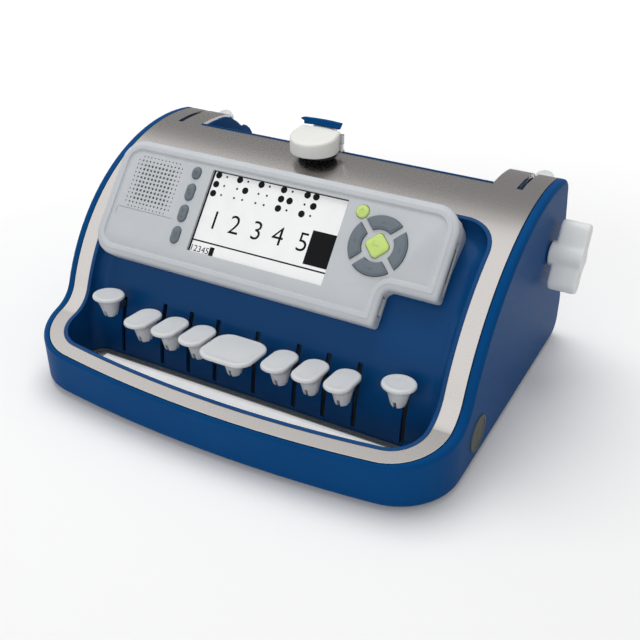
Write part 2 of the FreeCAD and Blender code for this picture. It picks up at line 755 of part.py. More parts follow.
# ---------------------------------------------------------------------------------------------
# Side frames and key pivot
# ---------------------------------------------------------------------------------------------
def side_frame():
    """The right frame: a plate inside the casing with a boss round the roller shaft."""
    plate = prism("frame_profile", "YZ_Plane", casing_outline(S.wall), "frame_inner",
                  "frame_inner + frame_wall")
    front = box("frame_front", ("frame_inner - wall", "half_width"),
                ("front_y * 2", "frame_front_y"), ("-foot_rise", "dome_radius * 2"))
    boss = rod("frame_boss", "boss_radius", ("frame_inner", "frame_inner + boss_length"),
               "roller_y", "roller_z")
    holes = [rod("frame_shaft_hole", "shaft_radius + fit", ("0", "half_width"), "roller_y",
                 "roller_z"),
             rod("frame_pivot_hole", "pivot_radius", ("0", "half_width"), "pivot_y", "pivot_z"),
             rod("frame_low_guide_hole", "guide_radius", ("0", "half_width"), "guide_y",
                 "guide_low_z"),
             rod("frame_high_guide_hole", "guide_radius", ("0", "half_width"), "guide_y",
                 "guide_high_z"),
             rod("frame_stop_rod_hole", "stop_rod_radius", ("0", "half_width"), "stop_rod_y",
                 "stop_rod_z"),
             rod("frame_pinch_hole", "pinch_journal + fit", ("0", "half_width"), PINCH_Y,
                 PINCH_Z)]
    return cut("right_frame_cut", fuse("frame_block", plate, boss), front, well_cut, *holes)


PINCH_Y = "roller_y + (roller_radius + pinch_radius + gap) * cos(pinch_angle)"
PINCH_Z = "roller_z + (roller_radius + pinch_radius + gap) * sin(pinch_angle)"
FRAME_SPAN = ("-frame_inner - frame_wall", "frame_inner + frame_wall")

right_frame = keep("right_side_frame", side_frame())
keep("left_side_frame", mirrored("left_frame_mirror", right_frame))
keep("key_pivot_shaft", rod("pivot_rod", "pivot_radius", FRAME_SPAN, "pivot_y", "pivot_z"))


# ---------------------------------------------------------------------------------------------
# Keys
# ---------------------------------------------------------------------------------------------
KEY_KINDS = {
    "dot_key": {"y": "key_y", "top": "key_top_z", "neck": "key_neck_z",
                "outline": lambda: rounded_box(S.dot_key_width / 2, S.dot_key_length / 2,
                                               S.dot_key_width / 2 - S.dot_key_flat)},
    "space": {"y": "space_y", "top": "space_top_z", "neck": "key_neck_z",
              "outline": lambda: rounded_box(S.space_half, S.space_length / 2,
                                             S.space_corner)},
    "end_key": {"y": "end_key_y", "top": "end_key_top_z", "neck": "end_key_neck_z",
                "outline": lambda: [Part.Circle(Vec(), Vec(0, 0, 1), S.end_key_radius)]},
}


def is_rim(edge):
    """Picks the rim edges of a cap's head, which all run across its thickness direction."""
    low, high = edge.Vertexes[0].Point, edge.Vertexes[-1].Point
    upright = FreeCAD.Rotation(Vec(1, 0, 0), S.cap_tilt).multVec(Vec(0, 0, 1))
    return abs((high - low).dot(upright)) < S.cap_thickness / 2


def key_lever(key, x, kind):
    """A flat steel lever: hub on the pivot shaft and an arm whose end sits in the key's neck."""
    neck, y = getattr(S, kind["neck"]), getattr(S, kind["y"])
    front, rear = y - S.post_half, y + S.post_half
    half = S.lever_height / 2
    arm = prism(f"{key}_arm", "YZ_Plane",
                rounded([(front, neck, 0), (rear + S.neck_top_radius, neck, 0),
                         (S.pivot_y, S.pivot_z - half, 0),
                         (S.lever_tail_y, S.pivot_z - half, S.tail_rounding),
                         (S.lever_tail_y, S.pivot_z + half, S.tail_rounding),
                         (S.pivot_y, S.pivot_z + half, 0),
                         (rear, neck + S.post_height, 0), (front, neck + S.post_height, 0)]),
                f"{x} - lever_wall / 2", f"{x} + lever_wall / 2")
    hub = rod(f"{key}_hub", "hub_radius", (f"{x} - lever_wall / 2", f"{x} + lever_wall / 2"),
              "pivot_y", "pivot_z")
    bore = rod(f"{key}_bore", "pivot_radius + fit", (f"{x} - lever_wall", f"{x} + lever_wall"),
               "pivot_y", "pivot_z")
    return cut(f"{key}_lever_cut", fuse(f"{key}_lever_block", arm, hub), bore)


def key_cap(key, x, kind):
    """A moulded cap: broad tilted head on a tapered neck, slotted behind for its lever."""
    neck, y, top = kind["neck"], kind["y"], kind["top"]
    head = prism(f"{key}_head", "XY_Plane", kind["outline"](), "-cap_thickness", "0")
    head.Placement = FreeCAD.Placement(Vec(), FreeCAD.Rotation(Vec(1, 0, 0), S.cap_tilt))
    bind(head, Placement__Base__x=x, Placement__Base__y=y, Placement__Base__z=top)
    head_round = filleted(f"{key}_head_round", head, S.cap_rounding, is_rim)
    stem = doc.addObject("Part::Cone", f"{key}_neck")
    bind(stem, Radius1="neck_low_radius", Radius2="neck_top_radius",
         Height=f"{top} - cap_thickness / 2 - {neck}", Placement__Base__x=x,
         Placement__Base__y=y, Placement__Base__z=neck)
    pocket = box(f"{key}_pocket", (f"{x} - lever_wall / 2", f"{x} + lever_wall / 2"),
                 (f"{y} - post_half", f"{y} + post_half + 2 * neck_top_radius"),
                 (neck, f"{neck} + post_height"))
    return cut(f"{key}_cap_cut", fuse(f"{key}_cap_block", head_round, stem), pocket)


springs = []
for key, (x, kind_name) in KEY_PLACES.items():
    kind = KEY_KINDS[kind_name]
    keep(f"{key}_lever", key_lever(key, x, kind))
    keep(f"{key}_cap", key_cap(key, x, kind))
    inward = "-" if x.startswith("dot") or x.startswith("end") else "+"
    near = f"{x} {inward} (lever_wall / 2 + gap)"
    far = f"{near} {inward} spring_length"
    start, end = (far, near) if inward == "-" else (near, far)
    coil = rod(f"{key}_coil", "pivot_radius + gap + spring_wall", (start, end), "pivot_y",
               "pivot_z")
    hollow = rod(f"{key}_coil_hollow", "pivot_radius + gap", (f"{start} - gap", f"{end} + gap"),
                 "pivot_y", "pivot_z")
    springs.append(cut(f"{key}_spring", coil, hollow))
keep("key_springs", fuse("spring_group", *springs))


# ---------------------------------------------------------------------------------------------
# Carriage, its lever and the margin stops
# ---------------------------------------------------------------------------------------------
keep("guide_rods", fuse("guide_group",
                        rod("low_guide", "guide_radius", FRAME_SPAN, "guide_y", "guide_low_z"),
                        rod("high_guide", "guide_radius", FRAME_SPAN, "guide_y", "guide_high_z"),
                        rod("stop_rod", "stop_rod_radius", FRAME_SPAN, "stop_rod_y",
                            "stop_rod_z")))

CARRIAGE_SPAN = ("carriage_x - carriage_half", "carriage_x + carriage_half")


def carriage_body():
    """A block bored for both guide rods, with two forward ears for the lever's hinge pin."""
    block = box("carriage_block", CARRIAGE_SPAN, ("carriage_front_y", "carriage_rear_y"),
                ("carriage_low_z", "carriage_high_z"))
    bores = [rod(f"carriage_{name}_bore", "guide_radius + fit", ("-half_width", "half_width"),
                 "guide_y", height)
             for name, height in (("low", "guide_low_z"), ("high", "guide_high_z"))]
    reach, rear = 2 * S.hinge_radius, S.carriage_front_y + S.wall
    ears = []
    for side, sign in (("left", "-"), ("right", "+")):
        near = f"carriage_x {sign} (arm_half + gap)"
        far = f"carriage_x {sign} (arm_half + gap + wall)"
        span = (far, near) if sign == "-" else (near, far)
        ears.append(prism(f"{side}_ear", "YZ_Plane",
                          rounded([(S.hinge_y - reach, S.hinge_z - reach, S.hinge_radius),
                                   (rear, S.hinge_z - reach, 0), (rear, S.carriage_high_z, 0),
                                   (S.hinge_y + reach, S.hinge_z + reach, 0),
                                   (S.hinge_y - reach, S.hinge_z + reach, S.hinge_radius)]),
                          *span))
    pin = rod("hinge_pin", "hinge_radius",
              ("carriage_x - arm_half - gap - wall", "carriage_x + arm_half + gap + wall"),
              "hinge_y", "hinge_z")
    return fuse("carriage_body_fuse", cut("carriage_bored", block, *bores), *ears, pin)


keep("carriage_body", carriage_body())


keep("embossing_head", box("head_plate", ("carriage_x - head_half", "carriage_x + head_half"),
                           ("head_front_y", "carriage_front_y"), ("head_low_z", "head_high_z")))


def carriage_lever():
    """A broad round-fronted grip on an arm that drops through the paper opening to its hinge."""
    front, heel, hinge = S.grip_y - S.grip_radius, 2 * S.hinge_radius, S.hinge_radius
    side = prism("grip_side", "YZ_Plane",
                 rounded([(front, S.grip_low_z, 0),
                          (S.arm_front_y, S.grip_low_z, 0),
                          (S.hinge_y - heel, S.hinge_z - heel, hinge),
                          (S.hinge_y + heel, S.hinge_z - heel, hinge),
                          (S.hinge_y + heel, S.hinge_z + heel, 0),
                          (S.grip_neck_y, S.grip_rear_z, S.grip_neck_rounding),
                          (S.grip_rear_y, S.grip_rear_z, 0),
                          (front, S.grip_front_z, S.grip_front_rounding)]),
                 "carriage_x - grip_radius", "carriage_x + grip_radius")
    x, wide, narrow = S.carriage_x, S.grip_rear_half, S.arm_half
    left, front, right = x - S.grip_radius, S.grip_y - S.grip_radius, x + S.grip_radius
    corners = [(right, S.grip_y), (x + wide, S.grip_rear_y), (x + narrow, S.grip_neck_y),
               (x + narrow, S.rear_y), (x - narrow, S.rear_y), (x - narrow, S.grip_neck_y),
               (x - wide, S.grip_rear_y), (left, S.grip_y)]
    plan = prism("grip_plan", "XY_Plane",
                 [bow((left, S.grip_y), (x, front), (right, S.grip_y))]
                 + [line(start, end) for start, end in zip(corners, corners[1:])],
                 "0", "dome_radius * 2")
    bore = rod("grip_bore", "hinge_radius + fit", ("-half_width", "half_width"), "hinge_y",
               "hinge_z")
    return cut("carriage_lever_cut", common("carriage_lever_form", side, plan), bore)


LATCH = (("carriage_x + latch_inner", "carriage_x + latch_inner + latch_width"),
         ("grip_rear_y - latch_length", "grip_rear_y"),
         ("grip_low_z + latch_low", "grip_low_z + latch_low + latch_height"))
keep("carriage_lever", cut("carriage_lever_notched", carriage_lever(), box("latch_room", *LATCH)))


def lever_cap():
    """The raised rest on the grip's rear edge, leaning back."""
    low, high, top = S.rest_low_half, S.rest_high_half, S.rest_rise
    profile = [line((-high, top), (-low, 0)), line((-low, 0), (low, 0)),
               line((low, 0), (high, top)), bow((high, top), (0, top + S.rest_crown), (-high, top))]
    rest = prism("lever_rest", "XZ_Plane", profile, "-rest_wall", "0")
    rest.Placement = FreeCAD.Placement(Vec(S.carriage_x, S.grip_rear_y, S.grip_rear_z),
                                       FreeCAD.Rotation(Vec(1, 0, 0), -S.rest_lean))
    return cut("lever_cap_cut", rest, box("rest_room", ("-half_width", "half_width"),
                                          ("0", "rear_y"), ("0", "grip_rear_z")))


keep("lever_cap", lever_cap())
keep("lever_latch", box("latch_block", *LATCH))


def margin_stop(side, middle):
    """A stop bored for its rod, with a finger that faces the carriage."""
    span = (f"{middle} - stop_half", f"{middle} + stop_half")
    ring = rod(f"{side}_stop_ring", "stop_radius", span, "stop_rod_y", "stop_rod_z")
    bore = rod(f"{side}_stop_bore", "stop_rod_radius + fit",
               (f"{middle} - 2 * stop_half", f"{middle} + 2 * stop_half"), "stop_rod_y",
               "stop_rod_z")
    finger = box(f"{side}_stop_finger", span,
                 ("stop_rod_y - stop_half / 2", "stop_rod_y + stop_half / 2"),
                 ("stop_rod_z + stop_rod_radius * 1.5", "carriage_low_z - 4 * gap"))
    return cut(f"{side}_stop_cut", fuse(f"{side}_stop_block", ring, finger), bore)


keep("left_margin_stop", margin_stop("left", "-stop_x"))
keep("right_margin_stop", margin_stop("right", "stop_x"))

# ---------------------------------------------------------------------------------------------
# Paper roller, knobs, pressure roller and release levers
# ---------------------------------------------------------------------------------------------
KNOB_FACE = "half_width + knob_gap + knob_hub_length"
keep("roller_shaft", rod("shaft_rod", "shaft_radius",
                         (f"-({KNOB_FACE} + knob_width / 2)", f"{KNOB_FACE} + knob_width / 2"),
                         "roller_y", "roller_z"))
roller_span = ("roller_gap - frame_inner", "frame_inner - roller_gap")
keep("paper_roller", cut("paper_roller_cut",
                         rod("roller_tube", "roller_radius", roller_span, "roller_y", "roller_z"),
                         rod("roller_bore", "shaft_radius", ("-half_width", "half_width"),
                             "roller_y", "roller_z")))


def knob():
    """The right knob: hub, round middle and a two-lobed paddle."""
    half, wall = S.knob_length / 2, S.knob_wall / 2
    paddle = prism("knob_paddle", "YZ_Plane", rounded_box(wall, half, wall - FLAT), KNOB_FACE,
                   f"{KNOB_FACE} + knob_width")
    paddle.Placement = FreeCAD.Placement(Vec(0, S.roller_y, S.roller_z),
                                         FreeCAD.Rotation(Vec(1, 0, 0), -S.knob_tilt))
    middle = rod("knob_middle", "knob_hub_radius", (KNOB_FACE, f"{KNOB_FACE} + knob_width"),
                 "roller_y", "roller_z")
    hub = rod("knob_hub", "knob_hub_radius", ("half_width + knob_gap", KNOB_FACE), "roller_y",
              "roller_z")
    bore = rod("knob_bore", "shaft_radius", ("half_width", f"{KNOB_FACE} + knob_width / 2"),
               "roller_y", "roller_z")
    return cut("right_knob_cut", fuse("knob_block", paddle, middle, hub), bore)


right_knob = keep("right_knob", knob())
keep("left_knob", mirrored("left_knob_mirror", right_knob))
keep("pressure_roller", fuse("pressure_roller_fuse",
                             rod("pinch_tube", "pinch_radius", roller_span, PINCH_Y, PINCH_Z),
                             rod("pinch_axle", "pinch_journal", FRAME_SPAN, PINCH_Y, PINCH_Z)))


def release_lever():
    """The right release lever: hub on the frame's boss, arm through the slot, thumb tab."""
    half = S.release_wall / 2
    tip, arm_end = S.release_reach + S.tab_height, S.release_reach + S.tab_joint
    arm = prism("release_arm", "YZ_Plane",
                rounded([(0, -S.release_hub / 2, 0), (arm_end, -S.tab_wall / 2, 0),
                         (arm_end, S.tab_wall / 2, 0), (0, S.release_hub / 2, 0)]),
                "release_x - release_wall / 2", "release_x + release_wall / 2")
    arm.Placement = FreeCAD.Placement(Vec(0, S.roller_y, S.roller_z),
                                      FreeCAD.Rotation(Vec(1, 0, 0), S.release_angle))
    hub = rod("release_hub_disc", "release_hub", (f"release_x - {half}", f"release_x + {half}"),
              "roller_y", "roller_z")
    tab = prism("release_tab", "XZ_Plane",
                rounded([(S.release_x - S.tab_width / 2, S.release_reach, S.tab_rounding),
                         (S.release_x + S.tab_width / 2, S.release_reach, S.tab_rounding),
                         (S.release_x + S.tab_width / 2, tip, S.tab_width / 2 - FLAT),
                         (S.release_x - S.tab_width / 2, tip, S.tab_width / 2 - FLAT)]),
                "-tab_wall / 2", "tab_wall / 2")
    tab.Placement = FreeCAD.Placement(Vec(0, S.roller_y, S.roller_z),
                                      FreeCAD.Rotation(Vec(1, 0, 0), S.release_angle - 90))
    bore = rod("release_bore", "boss_radius + fit", ("0", "half_width"), "roller_y", "roller_z")
    return cut("right_release_cut", fuse("release_block", arm, hub, tab), bore)


right_release = keep("right_release_lever", release_lever())
keep("left_release_lever", mirrored("left_release_mirror", right_release))


# ---------------------------------------------------------------------------------------------
# Display module, modelled flat: u is x, v is y, w is z, then laid on the display plane
# ---------------------------------------------------------------------------------------------
def module_outline(inset):
    """The housing's outline with its notch at the lower right."""
    left, right = -S.module_left + inset, S.module_right - inset
    top, low = S.module_top - inset, -S.module_low + inset
    sharp, round_corner = S.module_sharp_corner, S.module_corner - inset / 2
    return rounded([(left, low, round_corner), (S.notch_left - inset, low, sharp),
                    (S.notch_left - inset, -S.notch_top + inset, sharp),
                    (right, -S.notch_top + inset, sharp), (right, top, round_corner),
                    (left, top, round_corner)])


def lay(piece):
    """Lays a flat piece on the display plane."""
    piece.Placement = module_placement().multiply(piece.Placement)
    return piece


PILLS = {"menu_button": (S.menu_v, S.menu_half_length),
         "speech_button": (S.speech_v, S.pill_half_length),
         "volume_button": (S.volume_v, S.pill_half_length),
         "mode_button": (S.mode_v, S.pill_half_length)}


def button_shape(name, grow):
    """The outline of one round-cornered button, grown by a distance."""
    if name == "power_button":
        return [Part.Circle(Vec(S.power_u, S.power_v, 0), Vec(0, 0, 1), S.power_radius + grow)]
    if name == "ok_button":
        return diamond(S.ok_half + grow, S.ok_corner + grow)
    if name.startswith("arrow"):
        return arc_shape(ARROWS[name], grow)
    height, half_length = PILLS[name]
    radius = min(S.pill_half_width, half_length) - FLAT
    return rounded_box(S.pill_half_width + grow, half_length + grow, radius + grow,
                       (-S.pill_u, height))


def diamond(half, radius):
    """A rounded square standing on its corner, round the middle of the arc buttons."""
    reach = half * math.sqrt(2)
    return rounded([(S.pad_u + reach, S.pad_v, radius), (S.pad_u, S.pad_v + reach, radius),
                    (S.pad_u - reach, S.pad_v, radius), (S.pad_u, S.pad_v - reach, radius)])


ARROWS = {"arrow_right_button": 0, "arrow_up_button": 90, "arrow_left_button": 180,
          "arrow_down_button": 270}


def arc_shape(heading, grow):
    """A quarter of a ring, its ends parallel to the gaps on the diagonals."""
    outer_radius, inner_radius = S.arc_outer + grow, S.arc_inner - grow
    side = S.arc_gap / 2 - grow
    points = []
    for radius, sign in ((inner_radius, -1), (outer_radius, -1), (outer_radius, 1),
                         (inner_radius, 1)):
        angle = math.radians(heading) + sign * (math.pi / 4 - math.asin(side / radius))
        points.append((S.pad_u + radius * math.cos(angle), S.pad_v + radius * math.sin(angle)))
    middle = math.radians(heading)
    far = (S.pad_u + outer_radius * math.cos(middle), S.pad_v + outer_radius * math.sin(middle))
    near = (S.pad_u + inner_radius * math.cos(middle), S.pad_v + inner_radius * math.sin(middle))
    return [line(points[0], points[1]), bow(points[1], far, points[2]),
            line(points[2], points[3]), bow(points[3], near, points[0])]


BUTTONS = [*PILLS, "power_button", "ok_button", *ARROWS]
FACE_INSIDE = "module_face - module_wall"


def button(name):
    """A cap through the face on a flange behind it."""
    cap = prism(f"{name}_cap", "XY_Plane", button_shape(name, 0),
                f"{FACE_INSIDE} - gap - flange_wall", "module_face + button_rise")
    flange = prism(f"{name}_flange", "XY_Plane", button_shape(name, S.flange_reach),
                   f"{FACE_INSIDE} - gap - flange_wall", f"{FACE_INSIDE} - gap")
    return lay(fuse(f"{name}_fuse", cap, flange))


def is_front_rim(edge):
    """Picks the housing's outer front edges."""
    return (abs(edge.CenterOfMass.z - S.module_face - S.module_ridge) < 0.01
            and edge.BoundBox.ZLength < 0.01)


def module_housing():
    """A shallow tray with a bevelled rim, open at the back, with its windows."""
    block = prism("module_block", "XY_Plane", module_outline(0), "-module_depth",
                  "module_face + module_ridge")
    doc.recompute()
    bevelled = doc.addObject("Part::Chamfer", "module_bevelled")
    bevelled.Base = block
    bevelled.Edges = [(index, S.module_bevel, S.module_bevel)
                      for index, edge in enumerate(block.Shape.Edges, 1) if is_front_rim(edge)]
    sunk = prism("module_sunk", "XY_Plane", module_outline(S.ridge_inset), "module_face",
                 "module_face + 2 * module_ridge")
    hollow = prism("module_hollow", "XY_Plane", module_outline(S.module_wall),
                   "-module_depth * 2", f"{FACE_INSIDE} - module_bevel")
    face_hollow = prism("module_face_hollow", "XY_Plane",
                        module_outline(S.module_bevel + S.module_wall), "-module_depth * 2",
                        FACE_INSIDE)
    window = box("screen_window", ("-screen_half_u", "screen_half_u"),
                 ("-screen_low", "screen_high"), ("-module_depth", "module_depth"))
    tools = [sunk, hollow, face_hollow, window]
    tools += [prism(f"{name}_hole", "XY_Plane", button_shape(name, S.seam), "-module_depth",
                    "module_depth") for name in BUTTONS]
    tools.append(box("port_hole", ("notch_left - module_wall * 3", "notch_left + module_wall"),
                     ("port_v - port_length / 2", "port_v + port_length / 2"),
                     ("-port_height * 2", "-port_height")))
    return bevelled, tools


def grille():
    """Sound holes: a square grid without its four corners."""
    holes = []
    for i in range(-6, 7):
        for j in range(-6, 7):
            if abs(i) == 6 and abs(j) == 6:
                continue
            holes.append(Part.makeCylinder(S.grille_hole, 2 * S.module_depth,
                                           Vec(i * S.grille_pitch - S.grille_u,
                                               j * S.grille_pitch + S.grille_v, -S.module_depth)))
    feature = doc.addObject("Part::Feature", "grille_holes")
    feature.Shape = Part.makeCompound(holes)
    return feature


block, tools = module_housing()
windows = fuse("module_windows", *tools)
housing_flat = doc.addObject("Part::Cut", "housing_flat")
housing_flat.Base, housing_flat.Tool = block, windows
housing_grille = doc.addObject("Part::Cut", "housing_grille")
housing_grille.Base, housing_grille.Tool = housing_flat, grille()
lay(housing_grille)
dome_beside = common("dome_beside",
                     rod("dome_rest_round", "dome_radius + gap", ("-half_width", "half_width"),
                         "dome_y", "dome_z"),
                     box("dome_rest_side", ("-half_width * 2", "well_rounding - well_half"),
                         ("front_y", "rear_y"), ("0", "dome_radius * 2")))
dome_rest = cut("dome_rest", dome_beside, well_space("dome_rest_well", -S.seam))
keep("module_housing", cut("module_housing_cut", housing_grille, dome_rest))

for name in BUTTONS:
    keep(name, button(name))

screen = box("screen_slab", ("-screen_half_u - wall", "screen_half_u + wall"),
             ("-screen_low - wall", "screen_high + wall"),
             (f"{FACE_INSIDE} - screen_wall", FACE_INSIDE))
screen_glass = box("screen_glass", ("seam - screen_half_u", "screen_half_u - seam"),
                   ("seam - screen_low", "screen_high - seam"), (FACE_INSIDE, "0"))
keep("lcd_panel", lay(fuse("lcd_fuse", screen, screen_glass)))
keep("speaker", lay(prism("speaker_disc", "XY_Plane",
                          [Part.Circle(Vec(-S.grille_u, S.grille_v, 0), Vec(0, 0, 1),
                                       S.speaker_radius)],
                          f"{FACE_INSIDE} - speaker_depth", FACE_INSIDE)))
keep("usb_port", lay(prism("port_block", "XY_Plane",
                           rounded_box((S.port_depth - S.gap) / 2, S.port_length / 2 - S.seam, 0,
                                       (S.notch_left - (S.port_depth + S.gap) / 2, S.port_v)),
                           "-port_height * 2 + seam", "-port_height - seam")))


def module_back():
    """The closed back of the module, shaped to rest on the well's rear wall."""
    block = lay(prism("back_block", "XY_Plane", module_outline(S.back_inset),
                      "-module_depth * 4", "-module_depth"))
    return common("module_back_common", block, well_space("back_limit", -S.seam))


keep("module_back", module_back())

# ---------------------------------------------------------------------------------------------
# Check and export
# ---------------------------------------------------------------------------------------------
doc.recompute()
failed = [thing.Name for thing in doc.Objects if {"Invalid", "Error"} & set(thing.State)]
failed += [label for label, piece in parts.items()
           if piece.Shape.isNull() or not piece.Shape.isValid() or piece.Shape.Volume <= 0]
if failed:
    raise RuntimeError("failed: " + ", ".join(failed))

os.makedirs("parts", exist_ok=True)
for label, piece in parts.items():
    piece.Shape.exportStep(f"parts/{label}.step")
    print(f"{label}: {len(piece.Shape.Solids)} solid(s), {piece.Shape.Volume / 1000:.2f} cm3")
print(len(parts), "sub-parts")
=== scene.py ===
# %% [markdown]
# # A manual braille writer, dressed for its portrait
# The machine is a blue moulded casing under a satin silver cover. In front lies a well with nine
# pale keys, above it a tilted display panel, and on top a lever that carries the embossing head.
# The frame below holds every solid of the mechanism, each in its place. A solid whose form is
# right keeps its mesh and gets a finish; where a hand would see a softer form, a new piece
# replaces it.

import json
import math

import bmesh
import bpy
from mathutils import Matrix, Vector


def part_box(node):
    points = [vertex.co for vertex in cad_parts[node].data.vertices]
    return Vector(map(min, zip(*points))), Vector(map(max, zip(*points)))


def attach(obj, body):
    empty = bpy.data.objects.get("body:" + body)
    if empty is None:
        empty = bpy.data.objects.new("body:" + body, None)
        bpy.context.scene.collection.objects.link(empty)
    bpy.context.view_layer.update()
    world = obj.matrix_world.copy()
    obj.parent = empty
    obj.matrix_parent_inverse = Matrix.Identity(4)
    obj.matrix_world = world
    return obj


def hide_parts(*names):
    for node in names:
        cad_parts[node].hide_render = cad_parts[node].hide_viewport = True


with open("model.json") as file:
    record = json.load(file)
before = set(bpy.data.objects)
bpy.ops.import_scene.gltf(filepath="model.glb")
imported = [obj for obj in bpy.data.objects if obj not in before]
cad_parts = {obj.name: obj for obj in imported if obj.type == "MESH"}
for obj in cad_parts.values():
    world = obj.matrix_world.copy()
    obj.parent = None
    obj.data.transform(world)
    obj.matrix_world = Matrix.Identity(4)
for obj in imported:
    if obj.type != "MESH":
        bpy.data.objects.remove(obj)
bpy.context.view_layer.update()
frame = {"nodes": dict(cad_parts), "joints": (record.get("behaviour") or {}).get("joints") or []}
NODES = frame["nodes"]
MM = 0.001

# %% [markdown]
# ## Camera
# A camera is set by where it stands and where it looks. This one stands to the right and above,
# about half a metre away, where a person would lean over the machine. A 53 mm lens on a 36 mm
# sensor gives the perspective of a studio portrait.

# %% Camera
CAMERA_PLACE = Vector((0.28847, -0.49870, 0.38562))
AZIMUTH, ELEVATION = math.radians(28.607), math.radians(31.576)
line_of_sight = -Vector((math.sin(AZIMUTH) * math.cos(ELEVATION),
                         -math.cos(AZIMUTH) * math.cos(ELEVATION), math.sin(ELEVATION)))
bpy.ops.object.camera_add(location=CAMERA_PLACE)
camera = bpy.context.object
camera.rotation_euler = line_of_sight.to_track_quat("-Z", "Y").to_euler()
camera.data.lens, camera.data.sensor_width = 52.875, 36.0
bpy.context.scene.camera = camera
bpy.context.scene.view_settings.view_transform = "Standard"
print("camera", round(camera.location.length, 3), "m from the origin")

# %% [markdown]
# ## Finishes as expressions
# A shader is arithmetic on signals: a position goes in, a colour or a roughness comes out. The
# class below wraps one output socket, so that a pattern can be written as a formula. An
# operator adds the Math node behind it, and the reflected sum lets a plain number stand on the
# left, as in 0.4 + haze.


# %% Signals and finishes
class Signal:
    """One output of a finish's nodes; arithmetic on it adds Math nodes."""

    def __init__(self, finish, socket):
        self.finish = finish
        self.socket = socket

    def maths(self, operation, *values):
        return self.finish.add("ShaderNodeMath", {"operation": operation},
                               dict(enumerate(values)))["Value"]

    def __add__(self, other):
        return self.maths("ADD", self, other)

    def __sub__(self, other):
        return self.maths("SUBTRACT", self, other)

    def __mul__(self, other):
        return self.maths("MULTIPLY", self, other)

    def __abs__(self):
        return self.maths("ABSOLUTE", self)

    def __lt__(self, other):
        return self.maths("LESS_THAN", self, other)

    def __gt__(self, other):
        return self.maths("GREATER_THAN", self, other)

    __radd__ = __add__


class Finish:
    """A material whose Principled shader takes plain values and signals."""

    def __init__(self, name, **fixed):
        self.material = bpy.data.materials.new(name)
        self.material.use_nodes = True
        self.tree = self.material.node_tree
        self.tree.nodes.clear()
        self.shader = self.tree.nodes.new("ShaderNodeBsdfPrincipled")
        self.output = self.tree.nodes.new("ShaderNodeOutputMaterial")
        self.tree.links.new(self.shader.outputs[0], self.output.inputs["Surface"])
        self.place = self.add("ShaderNodeTexCoord")["Object"]
        self.set(**fixed)

    def feed(self, socket, value):
        if isinstance(value, Signal):
            self.tree.links.new(value.socket, socket)
        else:
            socket.default_value = value

    def add(self, kind, settings=None, inputs=None):
        """Adds a node: settings first, then values or signals by socket name or number."""
        node = self.tree.nodes.new(kind)
        for name, value in (settings or {}).items():
            setattr(node, name, value)
        for key, value in (inputs or {}).items():
            if isinstance(key, int):
                socket = node.inputs[key]
            else:
                socket = [s for s in node.inputs if s.enabled and s.name == key][0]
            self.feed(socket, value)
        return {s.name: Signal(self, s) for s in node.outputs if s.enabled}

    def set(self, **values):
        """Sets sockets of the Principled shader; _ in a name stands for a space."""
        for name, value in values.items():
            self.feed(self.shader.inputs[name.replace("_", " ")], value)
        return self

    def noise(self, scale, detail=2.0, roughness=0.5, place=None):
        return self.add("ShaderNodeTexNoise", {}, {"Vector": place or self.place, "Scale": scale,
                                                   "Detail": detail,
                                                   "Roughness": roughness})["Fac"]

    def cells(self, scale):
        return self.add("ShaderNodeTexVoronoi", {"feature": "SMOOTH_F1"},
                        {"Vector": self.place, "Scale": scale})["Distance"]

    def blend(self, factor, first, second):
        return self.add("ShaderNodeMix", {"data_type": "RGBA"},
                        {0: factor, 6: first, 7: second})["Result"]

    def axes(self):
        parts = self.add("ShaderNodeSeparateXYZ", {}, {"Vector": self.place})
        return parts["X"], parts["Y"], parts["Z"]

    def relief(self, height, distance, edge):
        """A bump of that depth in metres, on edges that are rounded by a radius."""
        edges = self.add("ShaderNodeBevel", {"samples": 6}, {"Radius": edge})["Normal"]
        return self.add("ShaderNodeBump", {}, {"Height": height, "Distance": distance,
                                               "Strength": 1.0, "Normal": edges})["Normal"]


def srgb(red, green, blue):
    """A colour as written on a colour card, 0 to 255, made linear."""
    return tuple((c / 255 / 12.92 if c / 255 <= 0.04045 else ((c / 255 + 0.055) / 1.055) ** 2.4)
                 for c in (red, green, blue)) + (1.0,)


print("finish helpers ready")

# %% [markdown]
# ## The stage
# A product portrait stands on white paper under broad soft lamps. The floor shows itself to the
# camera a little brighter than it is, and more so with the distance from the machine and within
# the handle hole, so that it runs out into white while it keeps the shadow round the machine.
# Satin metal mirrors the whole room, so in reflections the room is bright in front of the
# machine and dim behind it: that gives the cover its dark crown and its bright front. Dull
# surfaces are lit by an even room, a soft lamp above and a little behind, and a weaker one in
# front.

# %% Floor
NEAR, NEAR_GLOW, FAR, FAR_GLOW = 0.35, 0.02, 1.6, 0.6          # distances in metres
HOLE_HALF, HOLE_REAR, HOLE_FRONT, HOLE_BOW, HOLE_GLOW = 0.128, -0.0645, -0.11, 1.1, 0.4
bpy.ops.mesh.primitive_plane_add(size=12.0)
floor = bpy.context.object
floor.name = "floor"
paper = Finish("white paper", Base_Color=(0.9, 0.9, 0.9, 1), Roughness=0.9)
rays = paper.add("ShaderNodeLightPath")
seen = paper.add("ShaderNodeMath", {"operation": "MAXIMUM"},
                 {0: rays["Is Camera Ray"], 1: rays["Is Transmission Ray"]})["Value"]
away = paper.add("ShaderNodeVectorMath", {"operation": "LENGTH"}, {0: paper.place})["Value"]
outwards = paper.add("ShaderNodeMapRange", {}, {"Value": away, "From Min": NEAR, "From Max": FAR,
                                                "To Min": NEAR_GLOW, "To Max": FAR_GLOW})["Result"]
across, along, _ = paper.axes()
# painted light: the floor seen through the handle hole lies in the machine's shade and glows there
# for the camera
in_hole = ((abs(across) < HOLE_HALF) * (along < HOLE_REAR)
           * (along - across * across * HOLE_BOW > HOLE_FRONT))
glow = paper.tree.nodes.new("ShaderNodeEmission")
paper.feed(glow.inputs["Color"], outwards + in_hole * HOLE_GLOW)
